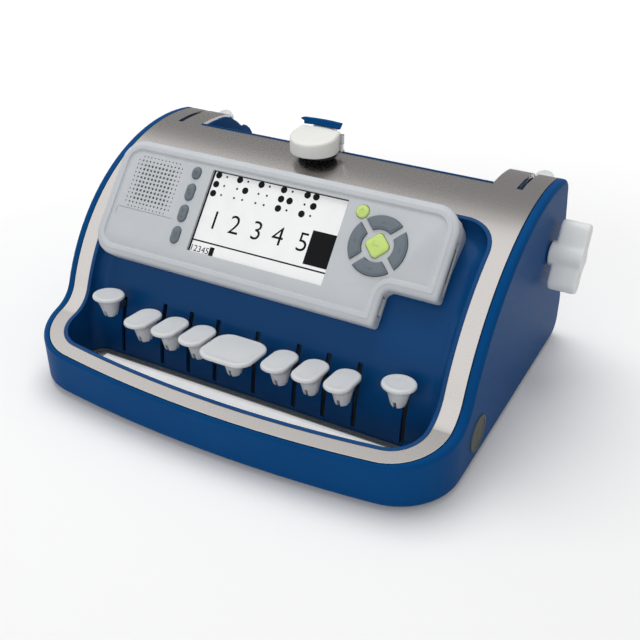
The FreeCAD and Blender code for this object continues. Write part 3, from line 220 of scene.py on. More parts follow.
both = paper.tree.nodes.new("ShaderNodeAddShader")
paper.tree.links.new(paper.shader.outputs[0], both.inputs[0])
paper.tree.links.new(glow.outputs[0], both.inputs[1])
choice = paper.tree.nodes.new("ShaderNodeMixShader")
paper.feed(choice.inputs[0], seen)
paper.tree.links.new(paper.shader.outputs[0], choice.inputs[1])
paper.tree.links.new(both.outputs[0], choice.inputs[2])
paper.tree.links.new(choice.outputs[0], paper.output.inputs["Surface"])
floor.data.materials.append(paper.material)
print("floor", tuple(round(side, 1) for side in floor.dimensions))

# %% [markdown]
# The room is one background with three levels. Dull surfaces see an even level, the camera sees
# white, and mirrors see a ramp along Y, from 0 in front of the machine to 1 behind it.

# %% Room
EVEN = 0.42
MIRRORED = ((0.0, 1.15), (0.66, 1.15), (0.74, 0.5), (0.79, 0.33))          # place, shade
world = bpy.data.worlds.new("studio")
bpy.context.scene.world = world
world.use_nodes = True
sky = world.node_tree
sky.nodes.clear()
direction = sky.nodes.new("ShaderNodeTexCoord")
depth = sky.nodes.new("ShaderNodeSeparateXYZ")
front_to_back = sky.nodes.new("ShaderNodeMapRange")
ramp = sky.nodes.new("ShaderNodeValToRGB")
room, mirrored_room, backdrop = (sky.nodes.new("ShaderNodeBackground") for _ in range(3))
path = sky.nodes.new("ShaderNodeLightPath")
for_mirrors, for_camera = (sky.nodes.new("ShaderNodeMixShader") for _ in range(2))
end = sky.nodes.new("ShaderNodeOutputWorld")
front_to_back.inputs["From Min"].default_value = -1.0
for _ in MIRRORED[2:]:
    ramp.color_ramp.elements.new(0.5)
for stop, (position, shade) in zip(ramp.color_ramp.elements, MIRRORED):
    stop.position, stop.color = position, (shade, shade, shade, 1)
for source, target in ((direction.outputs["Generated"], depth.inputs[0]),
                       (depth.outputs["Y"], front_to_back.inputs["Value"]),
                       (front_to_back.outputs["Result"], ramp.inputs[0]),
                       (ramp.outputs[0], mirrored_room.inputs[0]),
                       (path.outputs["Is Glossy Ray"], for_mirrors.inputs[0]),
                       (room.outputs[0], for_mirrors.inputs[1]),
                       (mirrored_room.outputs[0], for_mirrors.inputs[2]),
                       (path.outputs["Is Camera Ray"], for_camera.inputs[0]),
                       (for_mirrors.outputs[0], for_camera.inputs[1]),
                       (backdrop.outputs[0], for_camera.inputs[2]),
                       (for_camera.outputs[0], end.inputs["Surface"])):
    sky.links.new(source, target)
room.inputs[0].default_value = (EVEN, EVEN, EVEN, 1)
backdrop.inputs[0].default_value = (1, 1, 1, 1)
print("room levels", EVEN, [shade for _, shade in MIRRORED])


# %% Lamps
def lamp(name, place, target, size, power):
    """A square soft lamp that looks at a point."""
    bpy.ops.object.light_add(type="AREA", location=place)
    light = bpy.context.object
    light.name = name
    light.rotation_euler = (Vector(target) - Vector(place)).to_track_quat("-Z", "Y").to_euler()
    light.data.size = size
    light.data.energy = power
    light.visible_glossy = False


lamp("overhead", (-0.3, 0.35, 1.45), (0.0, 0.0, 0.05), 1.2, 16.0)
lamp("front_fill", (0.3, -1.6, 0.8), (0.0, 0.0, 0.08), 1.2, 8.0)

# %% [markdown]
# ## Finishes of the casing
# The skirt is moulded plastic with a pebble grain that softens its shine. The well is the same
# blue but smooth, so it mirrors the keys. The cover is satin silver: a metal base whose fine
# grain scatters the room's reflection into long soft bands.

# %% Blue plastics and the silver cover
blue_skirt = Finish("grained blue plastic", IOR=1.46, Specular_IOR_Level=0.05)
pebble = blue_skirt.cells(900.0)
patches = blue_skirt.noise(25.0)
blue_skirt.set(Base_Color=blue_skirt.blend(patches, srgb(3, 63, 116), srgb(5, 69, 124)),
               Roughness=0.36 + pebble * 0.12 + patches * 0.04,
               Normal=blue_skirt.relief(pebble, 0.00006, 0.0006))

blue_well = Finish("smooth blue plastic", IOR=1.46, Specular_IOR_Level=0.15)
patches = blue_well.noise(30.0)
haze = blue_well.noise(600.0)
blue_well.set(Base_Color=blue_well.blend(patches, srgb(8, 62, 112), srgb(12, 67, 119)),
              Roughness=0.26 + haze * 0.08,
              Normal=blue_well.relief(haze, 0.00001, 0.0006))

silver = Finish("satin silver", Metallic=1.0)
flakes = silver.noise(2400.0, 3.0)
patches = silver.noise(12.0)
silver.set(Base_Color=silver.blend(flakes, srgb(192, 188, 185), srgb(208, 204, 202)),
           Roughness=0.22 + flakes * 0.07 + patches * 0.03,
           Normal=silver.relief(flakes, 0.000003, 0.0005))
print("casing finishes made")

# %% [markdown]
# ## Finishes of the small pieces
# Each small piece has its own plastic, rubber or metal. All of them follow one recipe: a base
# colour that wanders a little, a roughness that is never quite even, and a relief at the scale
# of the real surface, on edges that are rounded by 0.3 or 0.4 mm.


# %% A recipe for moulded surfaces, and one for machined ones
PALER, DARKER = 1.12, 0.8           # how far a colour wanders from the one that is given
MOULDED_EDGE, MACHINED_EDGE = 0.0004, 0.0003


def moulded(name, colour, roughness, grain, depth, **fixed):
    """Plastic or rubber with a fine grain of that many bumps a metre."""
    finish = Finish(name, **fixed)
    wander, texture = finish.noise(60.0), finish.noise(grain)
    paler = tuple(min(1.0, part * PALER) for part in colour[:3]) + (1.0,)
    return finish.set(Base_Color=finish.blend(wander, colour, paler),
                      Roughness=roughness + texture * 0.08 + wander * 0.03,
                      Normal=finish.relief(texture, depth, MOULDED_EDGE))


def machined(name, colour, roughness, lengthwise, **fixed):
    """Metal with fine lines along X where lengthwise is small."""
    finish = Finish(name, Metallic=1.0, **fixed)
    stretch = finish.add("ShaderNodeMapping", {}, {"Vector": finish.place,
                                                   "Scale": (lengthwise, 1.0, 1.0)})["Vector"]
    lines = finish.noise(1500.0, 3.0, 0.6, stretch)
    darker = tuple(part * DARKER for part in colour[:3]) + (1.0,)
    return finish.set(Base_Color=finish.blend(lines, darker, colour),
                      Roughness=roughness + lines * 0.15,
                      Normal=finish.relief(lines, 0.000008, MACHINED_EDGE))


print("two recipes")

# %% Plastics, rubbers and metals
liner_grey = moulded("liner grey plastic", srgb(84, 89, 91), 0.5, 900.0, 0.00002)
key_white = moulded("key white plastic", srgb(198, 200, 202), 0.25, 500.0, 0.000004,
                    Coat_Weight=0.2, Coat_Roughness=0.1)
panel_grey = moulded("panel grey plastic", srgb(183, 187, 191), 0.38, 1400.0, 0.00001)
slate_rubber = moulded("slate rubber", srgb(98, 107, 115), 0.5, 1200.0, 0.00001)
lime_rubber = moulded("lime rubber", srgb(190, 212, 120), 0.45, 1200.0, 0.00001)
knob_grey = moulded("knob plastic", srgb(218, 220, 219), 0.33, 700.0, 0.00001)
lever_white = moulded("lever plastic", srgb(218, 218, 214), 0.32, 700.0, 0.00001)
clear_plastic = moulded("milky clear plastic", srgb(226, 229, 229), 0.25, 400.0, 0.000006,
                        Transmission_Weight=0.35)
# white of the display plate, also a painted highlight on the port's metal contacts
white_and_painted_glint = moulded("display white", srgb(236, 237, 237), 0.3, 300.0, 0.000002)
# print on the display, and painted shadow at its left and top edges
ink_and_painted_shade = moulded("display black", srgb(18, 18, 20), 0.6, 900.0, 0.000002, Specular_IOR_Level=0.1)
bright_metal = machined("bright metal", srgb(222, 223, 225), 0.15, 1.0)
# painted shade: black for the disc that stands for the grip's shadow and its reflection on the
# cover
painted_shade_black = moulded("sole rubber", srgb(14, 14, 15), 0.8, 900.0, 0.00001)
# dark plug plastic, also painted shade for the lining at the back of the memory bay
plug_dark_and_shade = moulded("dark plug plastic", srgb(64, 68, 60), 0.5, 900.0, 0.00002)
roller_rubber = moulded("roller rubber", srgb(34, 34, 36), 0.6, 1500.0, 0.00002)
foot_rubber = moulded("foot rubber", srgb(28, 28, 28), 0.75, 800.0, 0.00003)
speaker_black = moulded("speaker cloth", srgb(22, 22, 24), 0.85, 2500.0, 0.00005)
steel = machined("drawn steel", srgb(170, 170, 172), 0.22, 0.04)
pressed_steel = machined("pressed steel", srgb(150, 151, 153), 0.35, 1.0)
cast_alloy = machined("cast alloy", srgb(172, 174, 176), 0.4, 1.0)
print(len(bpy.data.materials), "materials")

# %% [markdown]
# Every solid gets a finish here, also those that a new piece replaces further down, because a
# solid that keeps its mesh and one that lends its name are dressed alike.

# %% Which solid wears what
WEARERS = (
    (blue_skirt, "casing_shell rear_cover right_side_frame left_side_frame lever_cap"),
    (blue_skirt, "left_margin_stop right_margin_stop"),
    (blue_well, "key_well"), (silver, "top_cover"), (liner_grey, "handle_liner bottom_plate"),
    (foot_rubber, "rubber_feet"), (plug_dark_and_shade, "side_plugs"), (cast_alloy, "carriage_body"),
    (steel, "key_pivot_shaft key_springs guide_rods roller_shaft pressure_roller"),
    (pressed_steel, "embossing_head lever_latch usb_port"), (lever_white, "carriage_lever"),
    (roller_rubber, "paper_roller"), (knob_grey, "right_knob left_knob"),
    (clear_plastic, "right_release_lever left_release_lever"), (speaker_black, "speaker"),
    (panel_grey, "module_housing module_back lcd_panel"),
)
FINISHES = {node: finish for finish, nodes in WEARERS for node in nodes.split()}
for node in NODES:
    if node.endswith("_lever") and node not in FINISHES:
        FINISHES[node] = pressed_steel
    elif node.endswith("_cap") and node not in FINISHES:
        FINISHES[node] = key_white
    elif node.endswith("_button"):
        FINISHES[node] = lime_rubber if node in ("power_button", "ok_button") else slate_rubber
for node, finish in FINISHES.items():
    NODES[node].data.materials.clear()
    NODES[node].data.materials.append(finish.material)
print(len(FINISHES), "solids finished")

# %% [markdown]
# ## Working on a mesh by operators
# Each new piece is made as by hand: a primitive is added, opened in edit mode, and shaped by
# inset, extrude, bevel and move. A finger can't point at a face here, so a small function
# selects faces, edges or corners by a test on their place.


# %% Start a piece and select its parts
def begin(kind, name, **settings):
    """Adds a primitive with nothing else selected, and opens it in edit mode."""
    bpy.ops.object.select_all(action="DESELECT")
    getattr(bpy.ops.mesh, f"primitive_{kind}_add")(**settings)
    piece = bpy.context.object
    piece.name = piece.data.name = name
    bpy.ops.object.mode_set(mode="EDIT")
    return piece


def pick(kind, wanted):
    """Selects the verts, edges or faces of the open piece for which wanted(part) is true."""
    bpy.ops.mesh.select_mode(type={"verts": "VERT", "edges": "EDGE", "faces": "FACE"}[kind])
    bpy.ops.mesh.select_all(action="DESELECT")
    form = bmesh.from_edit_mesh(bpy.context.object.data)
    for part in getattr(form, kind):
        if wanted(part):
            part.select_set(True)
    form.select_flush_mode()
    bmesh.update_edit_mesh(bpy.context.object.data)


def whole():
    """Selects all of the open piece."""
    bpy.ops.mesh.select_all(action="SELECT")


def middle(part):
    """The middle of an edge or a face, in millimetres."""
    return sum((v.co for v in part.verts), Vector()) / len(part.verts) / MM


print("begin, pick, whole and middle are ready")

# %% [markdown]
# Two motions return all the time: a face that climbs a stack of rings, each a step inwards and a
# step up, and an edge or face that is pulled out. Quarter rounds, dishes and ridges are all such
# stacks.


# %% Climb, shift, pull, resize, level
def climb(*steps):
    """Insets the selected faces again and again: each step is (inwards, up) in millimetres."""
    for inwards, up in steps:
        bpy.ops.mesh.inset(thickness=inwards * MM, depth=up * MM)


def shift(x, y, z):
    """Moves what is selected, in millimetres."""
    bpy.ops.transform.translate(value=(x * MM, y * MM, z * MM))


def pull(x, y, z):
    """Extrudes what is selected by a move, in millimetres."""
    bpy.ops.mesh.extrude_region_move(TRANSFORM_OT_translate={"value": (x * MM, y * MM, z * MM)})


def resize(x, y, z, **about):
    """Scales what is selected, round its own middle or a center_override."""
    bpy.ops.transform.resize(value=(x, y, z), **about)


def level(z):
    """Brings the selected corners to one height, in millimetres."""
    form = bmesh.from_edit_mesh(bpy.context.object.data)
    for vert in form.verts:
        if vert.select:
            vert.co.z = z * MM
    bmesh.update_edit_mesh(bpy.context.object.data)


def quarter_round(radius, rings=4):
    """Steps of a climb round a quarter circle."""
    angles = [math.pi / 2 * ring / rings for ring in range(rings + 1)]
    return [(radius * (math.cos(a) - math.cos(b)), radius * (math.sin(b) - math.sin(a)))
            for a, b in zip(angles, angles[1:])]


print("a quarter round of 2 mm:", [(round(a, 2), round(b, 2)) for a, b in quarter_round(2.0)])

# %% [markdown]
# A piece is closed before it counts: its corners are merged, its faces turned outwards and its
# soft edges shaded smooth. Then modifiers cut, join or soften it, and its place is baked into its
# mesh, so that the object itself stays unturned at the origin.

# %% Close, cut, place, join
WELD = 0.001 * MM


def smooth_up_to(angle):
    bpy.ops.object.shade_smooth_by_angle(angle=math.radians(angle))


def close(piece, smooth=35.0):
    """Leaves edit mode with corners merged, faces outwards, and smooth shading up to an angle."""
    bpy.ops.mesh.select_mode(type="VERT")
    whole()
    bpy.ops.mesh.remove_doubles(threshold=WELD)
    bpy.ops.mesh.normals_make_consistent(inside=False)
    bpy.ops.object.mode_set(mode="OBJECT")
    smooth_up_to(smooth)
    return piece


def take(*pieces):
    """Selects pieces, and makes the first one active."""
    bpy.ops.object.select_all(action="DESELECT")
    for piece in pieces:
        piece.select_set(True)
    bpy.context.view_layer.objects.active = pieces[0]


def modify(piece, kind, **settings):
    """Adds a modifier to a piece and applies it."""
    take(piece)
    modifier = piece.modifiers.new(kind.lower(), kind)
    for name, value in settings.items():
        setattr(modifier, name, value)
    bpy.ops.object.modifier_apply(modifier=modifier.name)
    return piece


def carve(piece, cutter, operation="DIFFERENCE"):
    """Cuts a piece with a closed cutter, which is used up."""
    modify(piece, "BOOLEAN", object=cutter, operation=operation, solver="EXACT")
    bpy.data.objects.remove(cutter)
    return piece


def place(piece, matrix):
    """Moves a finished piece and bakes the move into its mesh."""
    take(piece)
    piece.matrix_world = matrix @ piece.matrix_world
    bpy.ops.object.transform_apply(location=True, rotation=True, scale=True)
    return piece


def join(name, pieces):
    """Makes several pieces one."""
    take(*pieces)
    bpy.ops.object.join()
    pieces[0].name = pieces[0].data.name = name
    return pieces[0]


def copied(piece, name):
    """A copy of a piece with a mesh of its own."""
    twin = piece.copy()
    twin.data = piece.data.copy()
    twin.name = twin.data.name = name
    bpy.context.collection.objects.link(twin)
    return twin


def dress(piece, finish, body, *nodes):
    """Gives a piece its finish and the body it rides on; it stands for the nodes named."""
    piece.data.materials.clear()
    piece.data.materials.append(finish.material)
    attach(piece, body)
    if nodes:
        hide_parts(*nodes)
    return piece


def moved(u, v, z=0.0, turn=0.0):
    """The matrix that turns about Z by degrees and then moves by millimetres."""
    return (Matrix.Translation(Vector((u, v, z)) * MM)
            @ Matrix.Rotation(math.radians(turn), 4, "Z"))


print("close, take, modify, carve, place, join, copied and dress are ready")

# %% [markdown]
# Most pieces start from one of three outlines: a rectangle with round corners, the same one as a
# closed block, or a plate that is drawn as seen from the side.


# %% Outlines, blocks and side plates
def flat(name, width, length, corner, segments=8):
    """Opens a flat rectangle with round corners, in millimetres, selected all over."""
    piece = begin("plane", name, size=1.0)
    resize(width * MM, length * MM, 1.0)
    bpy.ops.mesh.bevel(affect="VERTICES", offset=corner * MM, segments=segments)
    whole()
    return piece


def one_face():
    """Merges the open flat outline into one face that looks up."""
    whole()
    bpy.ops.mesh.normals_make_consistent(inside=False)
    bpy.ops.mesh.dissolve_limited(angle_limit=math.radians(1))
    if any(face.normal.z < 0 for face in bmesh.from_edit_mesh(bpy.context.object.data).faces):
        bpy.ops.mesh.flip_normals()


def peg(name, width, length, corner, spot, low, high):
    """A closed upright block with round corners round a spot, in millimetres."""
    piece = flat(name, width, length, corner)
    shift(*spot, low)
    pull(0, 0, high - low)
    return close(piece)


def side_plate(name, outline, left, right, rounding):
    """A plate across X whose outline is given as seen from the side: y, z in millimetres."""
    piece = begin("circle", name, vertices=len(outline), radius=MM, fill_type="NGON")
    form = bmesh.from_edit_mesh(piece.data)
    for vert, (y, z) in zip(form.verts, outline):
        vert.co = Vector((left, y, z)) * MM
    bmesh.update_edit_mesh(piece.data)
    whole()
    pull(right - left, 0, 0)
    whole()
    bpy.ops.mesh.bevel(offset=rounding * MM, segments=3)
    return close(piece)


def crossbar(name, radius, length, middle_place, sides):
    """A closed cylinder along X, in millimetres, round a point."""
    piece = begin("cylinder", name, vertices=sides, radius=radius * MM, depth=length * MM)
    bpy.ops.transform.rotate(value=math.radians(90), orient_axis="Y", center_override=(0, 0, 0))
    shift(*middle_place)
    return close(piece)


print("outlines ready")

# %% [markdown]
# ## Key caps
# A braille key is pressed straight down by a fingertip, so its head is a shallow dish with a
# soft rim, on a neck that takes the steel lever. The head could be a bevelled block, but a bevel
# gives one radius everywhere. Here a flat outline climbs through rings instead, which gives the
# rim, the crest and the dish their own curves. The hollow throat under the head is a bridge
# between two loops, and a fork for the lever is cut last, so that its edges stay crisp.

# %% One cap of each kind
RIM = [*quarter_round(1.6)[:3], (1.0, 0.12), (0.9, -0.08), (1.0, -0.2), (1.3, -0.12)]
RIM_FOOT = -sum(up for _, up in RIM) - 0.25         # where the climb starts, under the cap's top
HEAD_SIDE, HEAD_EDGE = 0.7, 0.7        # upright side below the rim, rounding under it
UNDERCUT = ((HEAD_EDGE * 0.6, HEAD_EDGE * 0.4), (HEAD_EDGE * 0.4, HEAD_EDGE * 1.2))
THROAT, THROAT_RADIUS = 5.2, 6.8       # from the head down to the neck's ring
NECK_RADIUS, NECK_FOOT, FOOT_TAPER = 4.9, 0.5, 0.9
TILT = math.radians(6.0)
LEVER_SLOT, SLOT_HEIGHT, SLOT_LENGTH, SLOT_CORNER = 2.0, 5.2, 20.0, 0.4


def key_cap(name, width, length, corner, height):
    """A cap whose top is at the origin and whose neck ends at that depth below it."""
    if corner:
        cap = flat(name, width, length, corner, 11)
    else:
        cap = begin("circle", name, vertices=48, radius=width / 2 * MM, fill_type="NGON")
    shift(0, 0, RIM_FOOT)
    climb(*RIM)
    pick("edges", lambda edge: edge.is_boundary)
    pull(0, 0, -HEAD_SIDE)
    for down, inwards in UNDERCUT:
        pull(0, 0, -down)
        resize(1 - 2 * inwards / width, 1 - 2 * inwards / length, 1)
    whole()
    bpy.ops.transform.rotate(value=TILT, orient_axis="X", center_override=(0, 0, 0))
    throat = RIM_FOOT - HEAD_SIDE - HEAD_EDGE - THROAT
    bpy.ops.mesh.primitive_circle_add(vertices=48, radius=THROAT_RADIUS * MM,
                                      fill_type="NOTHING", location=(0, 0, throat * MM))
    for down, scale in ((throat + height - NECK_FOOT, NECK_RADIUS / THROAT_RADIUS),
                        (NECK_FOOT, FOOT_TAPER)):
        pull(0, 0, -down)
        resize(scale, scale, 1)
    bpy.ops.mesh.edge_face_add()
    climb((1.2, 0.0), (1.2, 0.0))
    pick("edges", lambda edge: edge.is_boundary)
    bpy.ops.mesh.bridge_edge_loops(number_cuts=4, interpolation="SURFACE", smoothness=0.35)
    close(cap, 60)
    modify(cap, "SUBSURF", levels=1, render_levels=1)
    for across, along, deep in ((LEVER_SLOT, SLOT_LENGTH, SLOT_HEIGHT),
                                (SLOT_LENGTH, LEVER_SLOT, SLOT_HEIGHT / 2)):
        carve(cap, peg("slot", across, along, SLOT_CORNER, (0, 0), -height - 1, -height + deep))
    smooth_up_to(40)
    return cap


# Each kind: width, length, corner, height, and how high its top stands above the table.
CAP_SIZES = {"dot": (18.0, 30.0, 8.6, 17.5, 55.0), "space": (38.0, 36.0, 11.0, 18.5, 56.0),
             "end": (22.0, 22.0, 0.0, 16.3, 60.0)}
cap_kinds = {kind: key_cap(f"{kind}_cap", *sizes[:4]) for kind, sizes in CAP_SIZES.items()}
print({kind: len(cap.data.polygons) for kind, cap in cap_kinds.items()}, "faces")

# %% Nine caps in their places
for joint in frame["joints"]:
    if joint["name"].endswith("_key_press"):
        key = joint["name"].removesuffix("_press")
        kind = key.split("_")[0] if key.startswith(("dot", "space")) else "end"
        spot = sum(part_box(f"{key}_cap"), Vector()) / 2
        spot.z = CAP_SIZES[kind][4] * MM
        cap = copied(cap_kinds[kind], f"{key}_head")
        dress(place(cap, Matrix.Translation(spot)), key_white, key, f"{key}_cap")
for cap in cap_kinds.values():
    bpy.data.objects.remove(cap)
print("nine caps placed")

# %% [markdown]
# ## The display housing
# The housing is a flat shell with a soft shoulder all round its face. Its outline has a notch, so
# it starts as a rectangle whose edges are pulled out and merged into one face with six corners.
# That face climbs a stack of rings for the shoulder, and its rim drops to make the side walls.
# A solidify modifier would fold its inner wall where the groove is tight, so the block is closed
# and hollowed from behind.

# %% Display housing
PANEL = (Matrix.Translation(Vector((-11.0, -23.7, 113.8)) * MM)
         @ Matrix.Rotation(math.radians(49.6), 4, "X"))
LEFT, RIGHT, LOW, TOP = -129.0, 128.0, -45.5, 39.5
NOTCH_U, NOTCH_V = 93.0, -20.5
FACE, WALL = 1.5, 2.5
SHOULDER = [(0, -1.2), (0.35, 0.1), (1.1, 1.1), (2.3, 1.75), (3.6, 2.05), (4.0, 2.45), (6.4, 2.6),
            (7.0, 2.4), (7.6, 1.25), (8.8, 1.25), (9.3, FACE)]
DEPTH = -9.8
OUTER_CORNERS = ((LEFT, LOW), (LEFT, TOP), (RIGHT, TOP))
TIPS = ((NOTCH_U, LOW), (RIGHT, NOTCH_V))           # the corners beside the notch
TIP_RADIUS, TIP_REACH = 2.2, 3.9
HOLLOW_CORNER, OVERLAP = 8.0, 15.0


def at_corner(vert, corners):
    """Whether a vertex, seen from above, lies at one of the corners."""
    return any((vert.co.xy / MM - Vector(corner)).length < 0.5 for corner in corners)


def on_tip(edge):
    """An edge that runs down or inwards along the diagonal of a tip."""
    for u, v in TIPS:
        steps = [(u - vert.co.x / MM, vert.co.y / MM - v) for vert in edge.verts]
        if all(abs(a - b) < 0.05 and a < TIP_REACH for a, b in steps):
            return True
    return False


housing = begin("plane", "display_housing", size=1.0)
resize((NOTCH_U - LEFT) * MM, (NOTCH_V - LOW) * MM, 1.0)
shift((LEFT + NOTCH_U) / 2, (LOW + NOTCH_V) / 2, SHOULDER[0][1])
pick("edges", lambda edge: abs(middle(edge).y - NOTCH_V) < 0.1)
pull(0, TOP - NOTCH_V, 0)
pick("edges", lambda edge: abs(middle(edge).x - NOTCH_U) < 0.1 and middle(edge).y > NOTCH_V)
pull(RIGHT - NOTCH_U, 0, 0)
one_face()
for corners, radius, segments in ((OUTER_CORNERS, 17.0, 14), (((NOTCH_U, NOTCH_V),), 5.0, 8)):
    pick("verts", lambda vert: at_corner(vert, corners))
    bpy.ops.mesh.bevel(affect="VERTICES", offset=radius * MM, segments=segments)
whole()
climb(*[(inner[0] - outer[0], inner[1] - outer[1])
        for outer, inner in zip(SHOULDER, SHOULDER[1:])])
pick("edges", lambda edge: edge.is_boundary)
pull(0, 0, DEPTH - SHOULDER[0][1])
bpy.ops.mesh.edge_face_add()
pick("edges", on_tip)
bpy.ops.mesh.bevel(offset=TIP_RADIUS * MM, segments=5)
close(housing)
for left, right, low in ((LEFT, NOTCH_U, LOW), (NOTCH_U - OVERLAP, RIGHT, NOTCH_V)):
    carve(housing, peg("hollow", right - left - 2 * WALL, TOP - low - 2 * WALL, HOLLOW_CORNER,
                       ((left + right) / 2, (low + TOP) / 2), DEPTH - 5.0, FACE - WALL))
print(len(housing.data.polygons), "faces in the blank")

# %% [markdown]
# Every button sits in a window with a seam round it, so a window's sizes are the button's plus
# twice the seam. The windows of the arcs are quarters of a ring: a circle is inset, and its
# halves beyond two diagonals are cleared away. All windows are cut in one go, by one joined
# cutter.

# %% Windows
PAD = (80.3, 4.4)                       # the middle of the round pad with the arcs
PILLS = {"menu": (24.0, 8.2, 0), "speech": (10.1, 11.8, 1), "volume": (-5.4, 11.8, 2),
         "mode": (-21.1, 11.8, 3)}
PILL_U, PILL_WIDTH = -64.0, 6.8
POWER = (63.6, 23.6)
ARC_GAP, SEAM = 4.4, 0.3
ARC_WELD = 0.4                          # merges the slivers that the slices leave
THROUGH = (-20.0, 20.0)                 # from below the housing to above it
PORT_V, BAY_V = -31.5, 2.0


def quarter_ring(name, outer, inner, gap):
    """Opens a flat quarter of a ring round +X, with ends parallel to the diagonals."""
    piece = begin("circle", name, vertices=96, radius=outer * MM, fill_type="NGON")
    climb((outer - inner, 0.0))
    bpy.ops.mesh.delete(type="FACE")
    for sign in (1, -1):
        away = Vector((-math.sqrt(0.5), sign * math.sqrt(0.5), 0))
        whole()
        bpy.ops.mesh.bisect(plane_co=away * -gap / 2 * MM, plane_no=away, clear_outer=True)
    whole()
    bpy.ops.mesh.remove_doubles(threshold=ARC_WELD * MM)
    one_face()
    return piece


cutters = [peg("screen", 104.0, 58.2, 0.6, (0.0, 0.1), *THROUGH)]
for v, length, _ in PILLS.values():
    cutters.append(peg("pill", PILL_WIDTH + 2 * SEAM, length + 2 * SEAM, 3.6, (PILL_U, v),
                       *THROUGH))
cutters.append(peg("power", 9.2, 9.2, 4.5, POWER, *THROUGH))
cutters.append(place(peg("diamond", 13.6, 13.6, 3.2, (0, 0), *THROUGH), moved(*PAD, turn=45)))
for heading in range(0, 360, 90):
    cutters.append(quarter_ring("arc", 19.9, 10.7, ARC_GAP - 2 * SEAM))
    shift(0, 0, THROUGH[0])
    pull(0, 0, THROUGH[1] - THROUGH[0])
    place(close(cutters[-1]), moved(*PAD, turn=heading))
cutters.append(peg("port", 12.0, 13.0, 0.8, (NOTCH_U - 2, PORT_V), -7.4, -2.6))
cutters.append(peg("bay", 10.0, 34.0, 0.8, (RIGHT, BAY_V), -8.0, -2.6))
carve(housing, join("windows", cutters))
print(len(cutters), "windows cut")

# %% [markdown]
# The sound holes shrink towards the edge of their square, and the four corner holes are left
# out. They start as one empty piece that gathers a cylinder for each hole, so that the housing
# is cut only once.

# %% Engraved line and sound holes
GRILLE, PITCH, RINGS = (-94.6, 9.3), 3.06, 6
HOLE_RADII, INNER_RADIUS = {RINGS: 0.5, RINGS - 1: 0.7}, 0.95
LINES = ((46.0, 0.6, (-94.6, -11.0)), (0.6, 5.0, (-118.0, -14.0)))
ENGRAVED = 0.35
for width, length, spot in LINES:
    carve(housing, peg("line", width, length, 0.2, spot, FACE - ENGRAVED, 9.0))
holes = begin("cylinder", "holes", vertices=12)
bpy.ops.mesh.delete(type="VERT")
for i in range(-RINGS, RINGS + 1):
    for j in range(-RINGS, RINGS + 1):
        if abs(i) + abs(j) < 2 * RINGS:
            bpy.ops.mesh.primitive_cylinder_add(
                vertices=12, radius=HOLE_RADII.get(max(abs(i), abs(j)), INNER_RADIUS) * MM,
                depth=20 * MM, location=[(GRILLE[0] + i * PITCH) * MM,
                                         (GRILLE[1] + j * PITCH) * MM, 0])
carve(housing, close(holes))
print(len(housing.data.polygons), "faces with the holes")

# %% [markdown]
# The left end of the housing reaches over the silver dome, so the dome's own cylinder, a little
# larger, is cut from it once it is in place.

# %% Fit to the dome, bay and port
DOME_Y, DOME_Z, DOME_RADIUS, WELL_HALF = 62.0, 3.0, 138.0, 134.0
DOME_GAP, CUT_LENGTH = 0.4, 60.0
place(housing, PANEL)
carve(housing, crossbar("dome", DOME_RADIUS + DOME_GAP, CUT_LENGTH,
                        (-WELL_HALF - CUT_LENGTH / 2, DOME_Y, DOME_Z), 256))
smooth_up_to(35)
dress(housing, panel_grey, "base", "module_housing")
# painted shade: the dark lining at the back of the bay stands for the shade inside it; the card is
# the bay's own part
bay = join("memory_bay", [peg("lining", 1.2, 36.0, 0.3, (RIGHT - 3.6, BAY_V), -8.2, -2.6),
                          peg("card", 2.4, 22.0, 0.3, (RIGHT - 1.9, BAY_V + 2), -6.6, -4.2)])
dress(place(bay, PANEL), plug_dark_and_shade, "base")
# painted highlight: the metal contacts wear a flat white that stands for their bright reflection
contacts = [peg("contact", 2.6, 11.0, 0.2, (NOTCH_U - 1.5, PORT_V), low, high)
            for low, high in ((-7.2, -6.6), (-5.6, -4.4), (-3.4, -2.8))]
dress(place(join("port_contacts", contacts), PANEL), white_and_painted_glint, "base")
print(len(housing.data.polygons), "faces in the fitted housing")

# %% [markdown]
# ## Buttons
# A rubber button is a soft dome, so each outline climbs a quarter round and then a shallow
# crown. The marks on top are thin raised bars: each has a width, a length, a place on its
# button and a turn in degrees.

# %% Pill buttons
BUTTON_TOP, BUTTON_LOW = 3.3, -2.4
CROWN = [*quarter_round(1.3), (0.9, 0.22), (0.8, 0.06)]
MARK_SUNK, MARK_RISE = 0.4, 0.25
MARKS = (((3.2, 0.6, 0, 1.2, 0), (3.2, 0.6, 0, 0, 0), (3.2, 0.6, 0, -1.2, 0)),
         ((2.6, 0.6, 0, 1.6, 0), (0.6, 2.6, -1.2, 0.6, 0), (2.6, 0.6, 0, -0.6, 0),
          (1.4, 0.6, 0.6, -2.0, 45)),
         ((2.6, 0.6, 0, 2.2, 0), (0.6, 2.6, 0, 2.2, 0), (2.6, 0.6, 0, -2.2, 0)),
         ((2.6, 0.6, 0, 1.8, 0), (2.6, 0.6, 0, -1.8, 0), (0.6, 3.0, 1.2, 0, 0)))


def soft_button(piece, steps):
    """Turns the open selected outline into a button whose highest ring is at the top."""
    foot = BUTTON_TOP - sum(up for _, up in steps)
    shift(0, 0, foot)
    climb(*steps)
    pick("edges", lambda edge: edge.is_boundary)
    pull(0, 0, BUTTON_LOW - foot)
    return close(piece, 50)


def bar(width, length, spot, turn=0.0):
    """A thin raised mark on a button."""
    return place(peg("mark", width, length, min(width, length) * 0.3, (0, 0),
                     BUTTON_TOP - MARK_SUNK, BUTTON_TOP + MARK_RISE), moved(*spot, turn=turn))


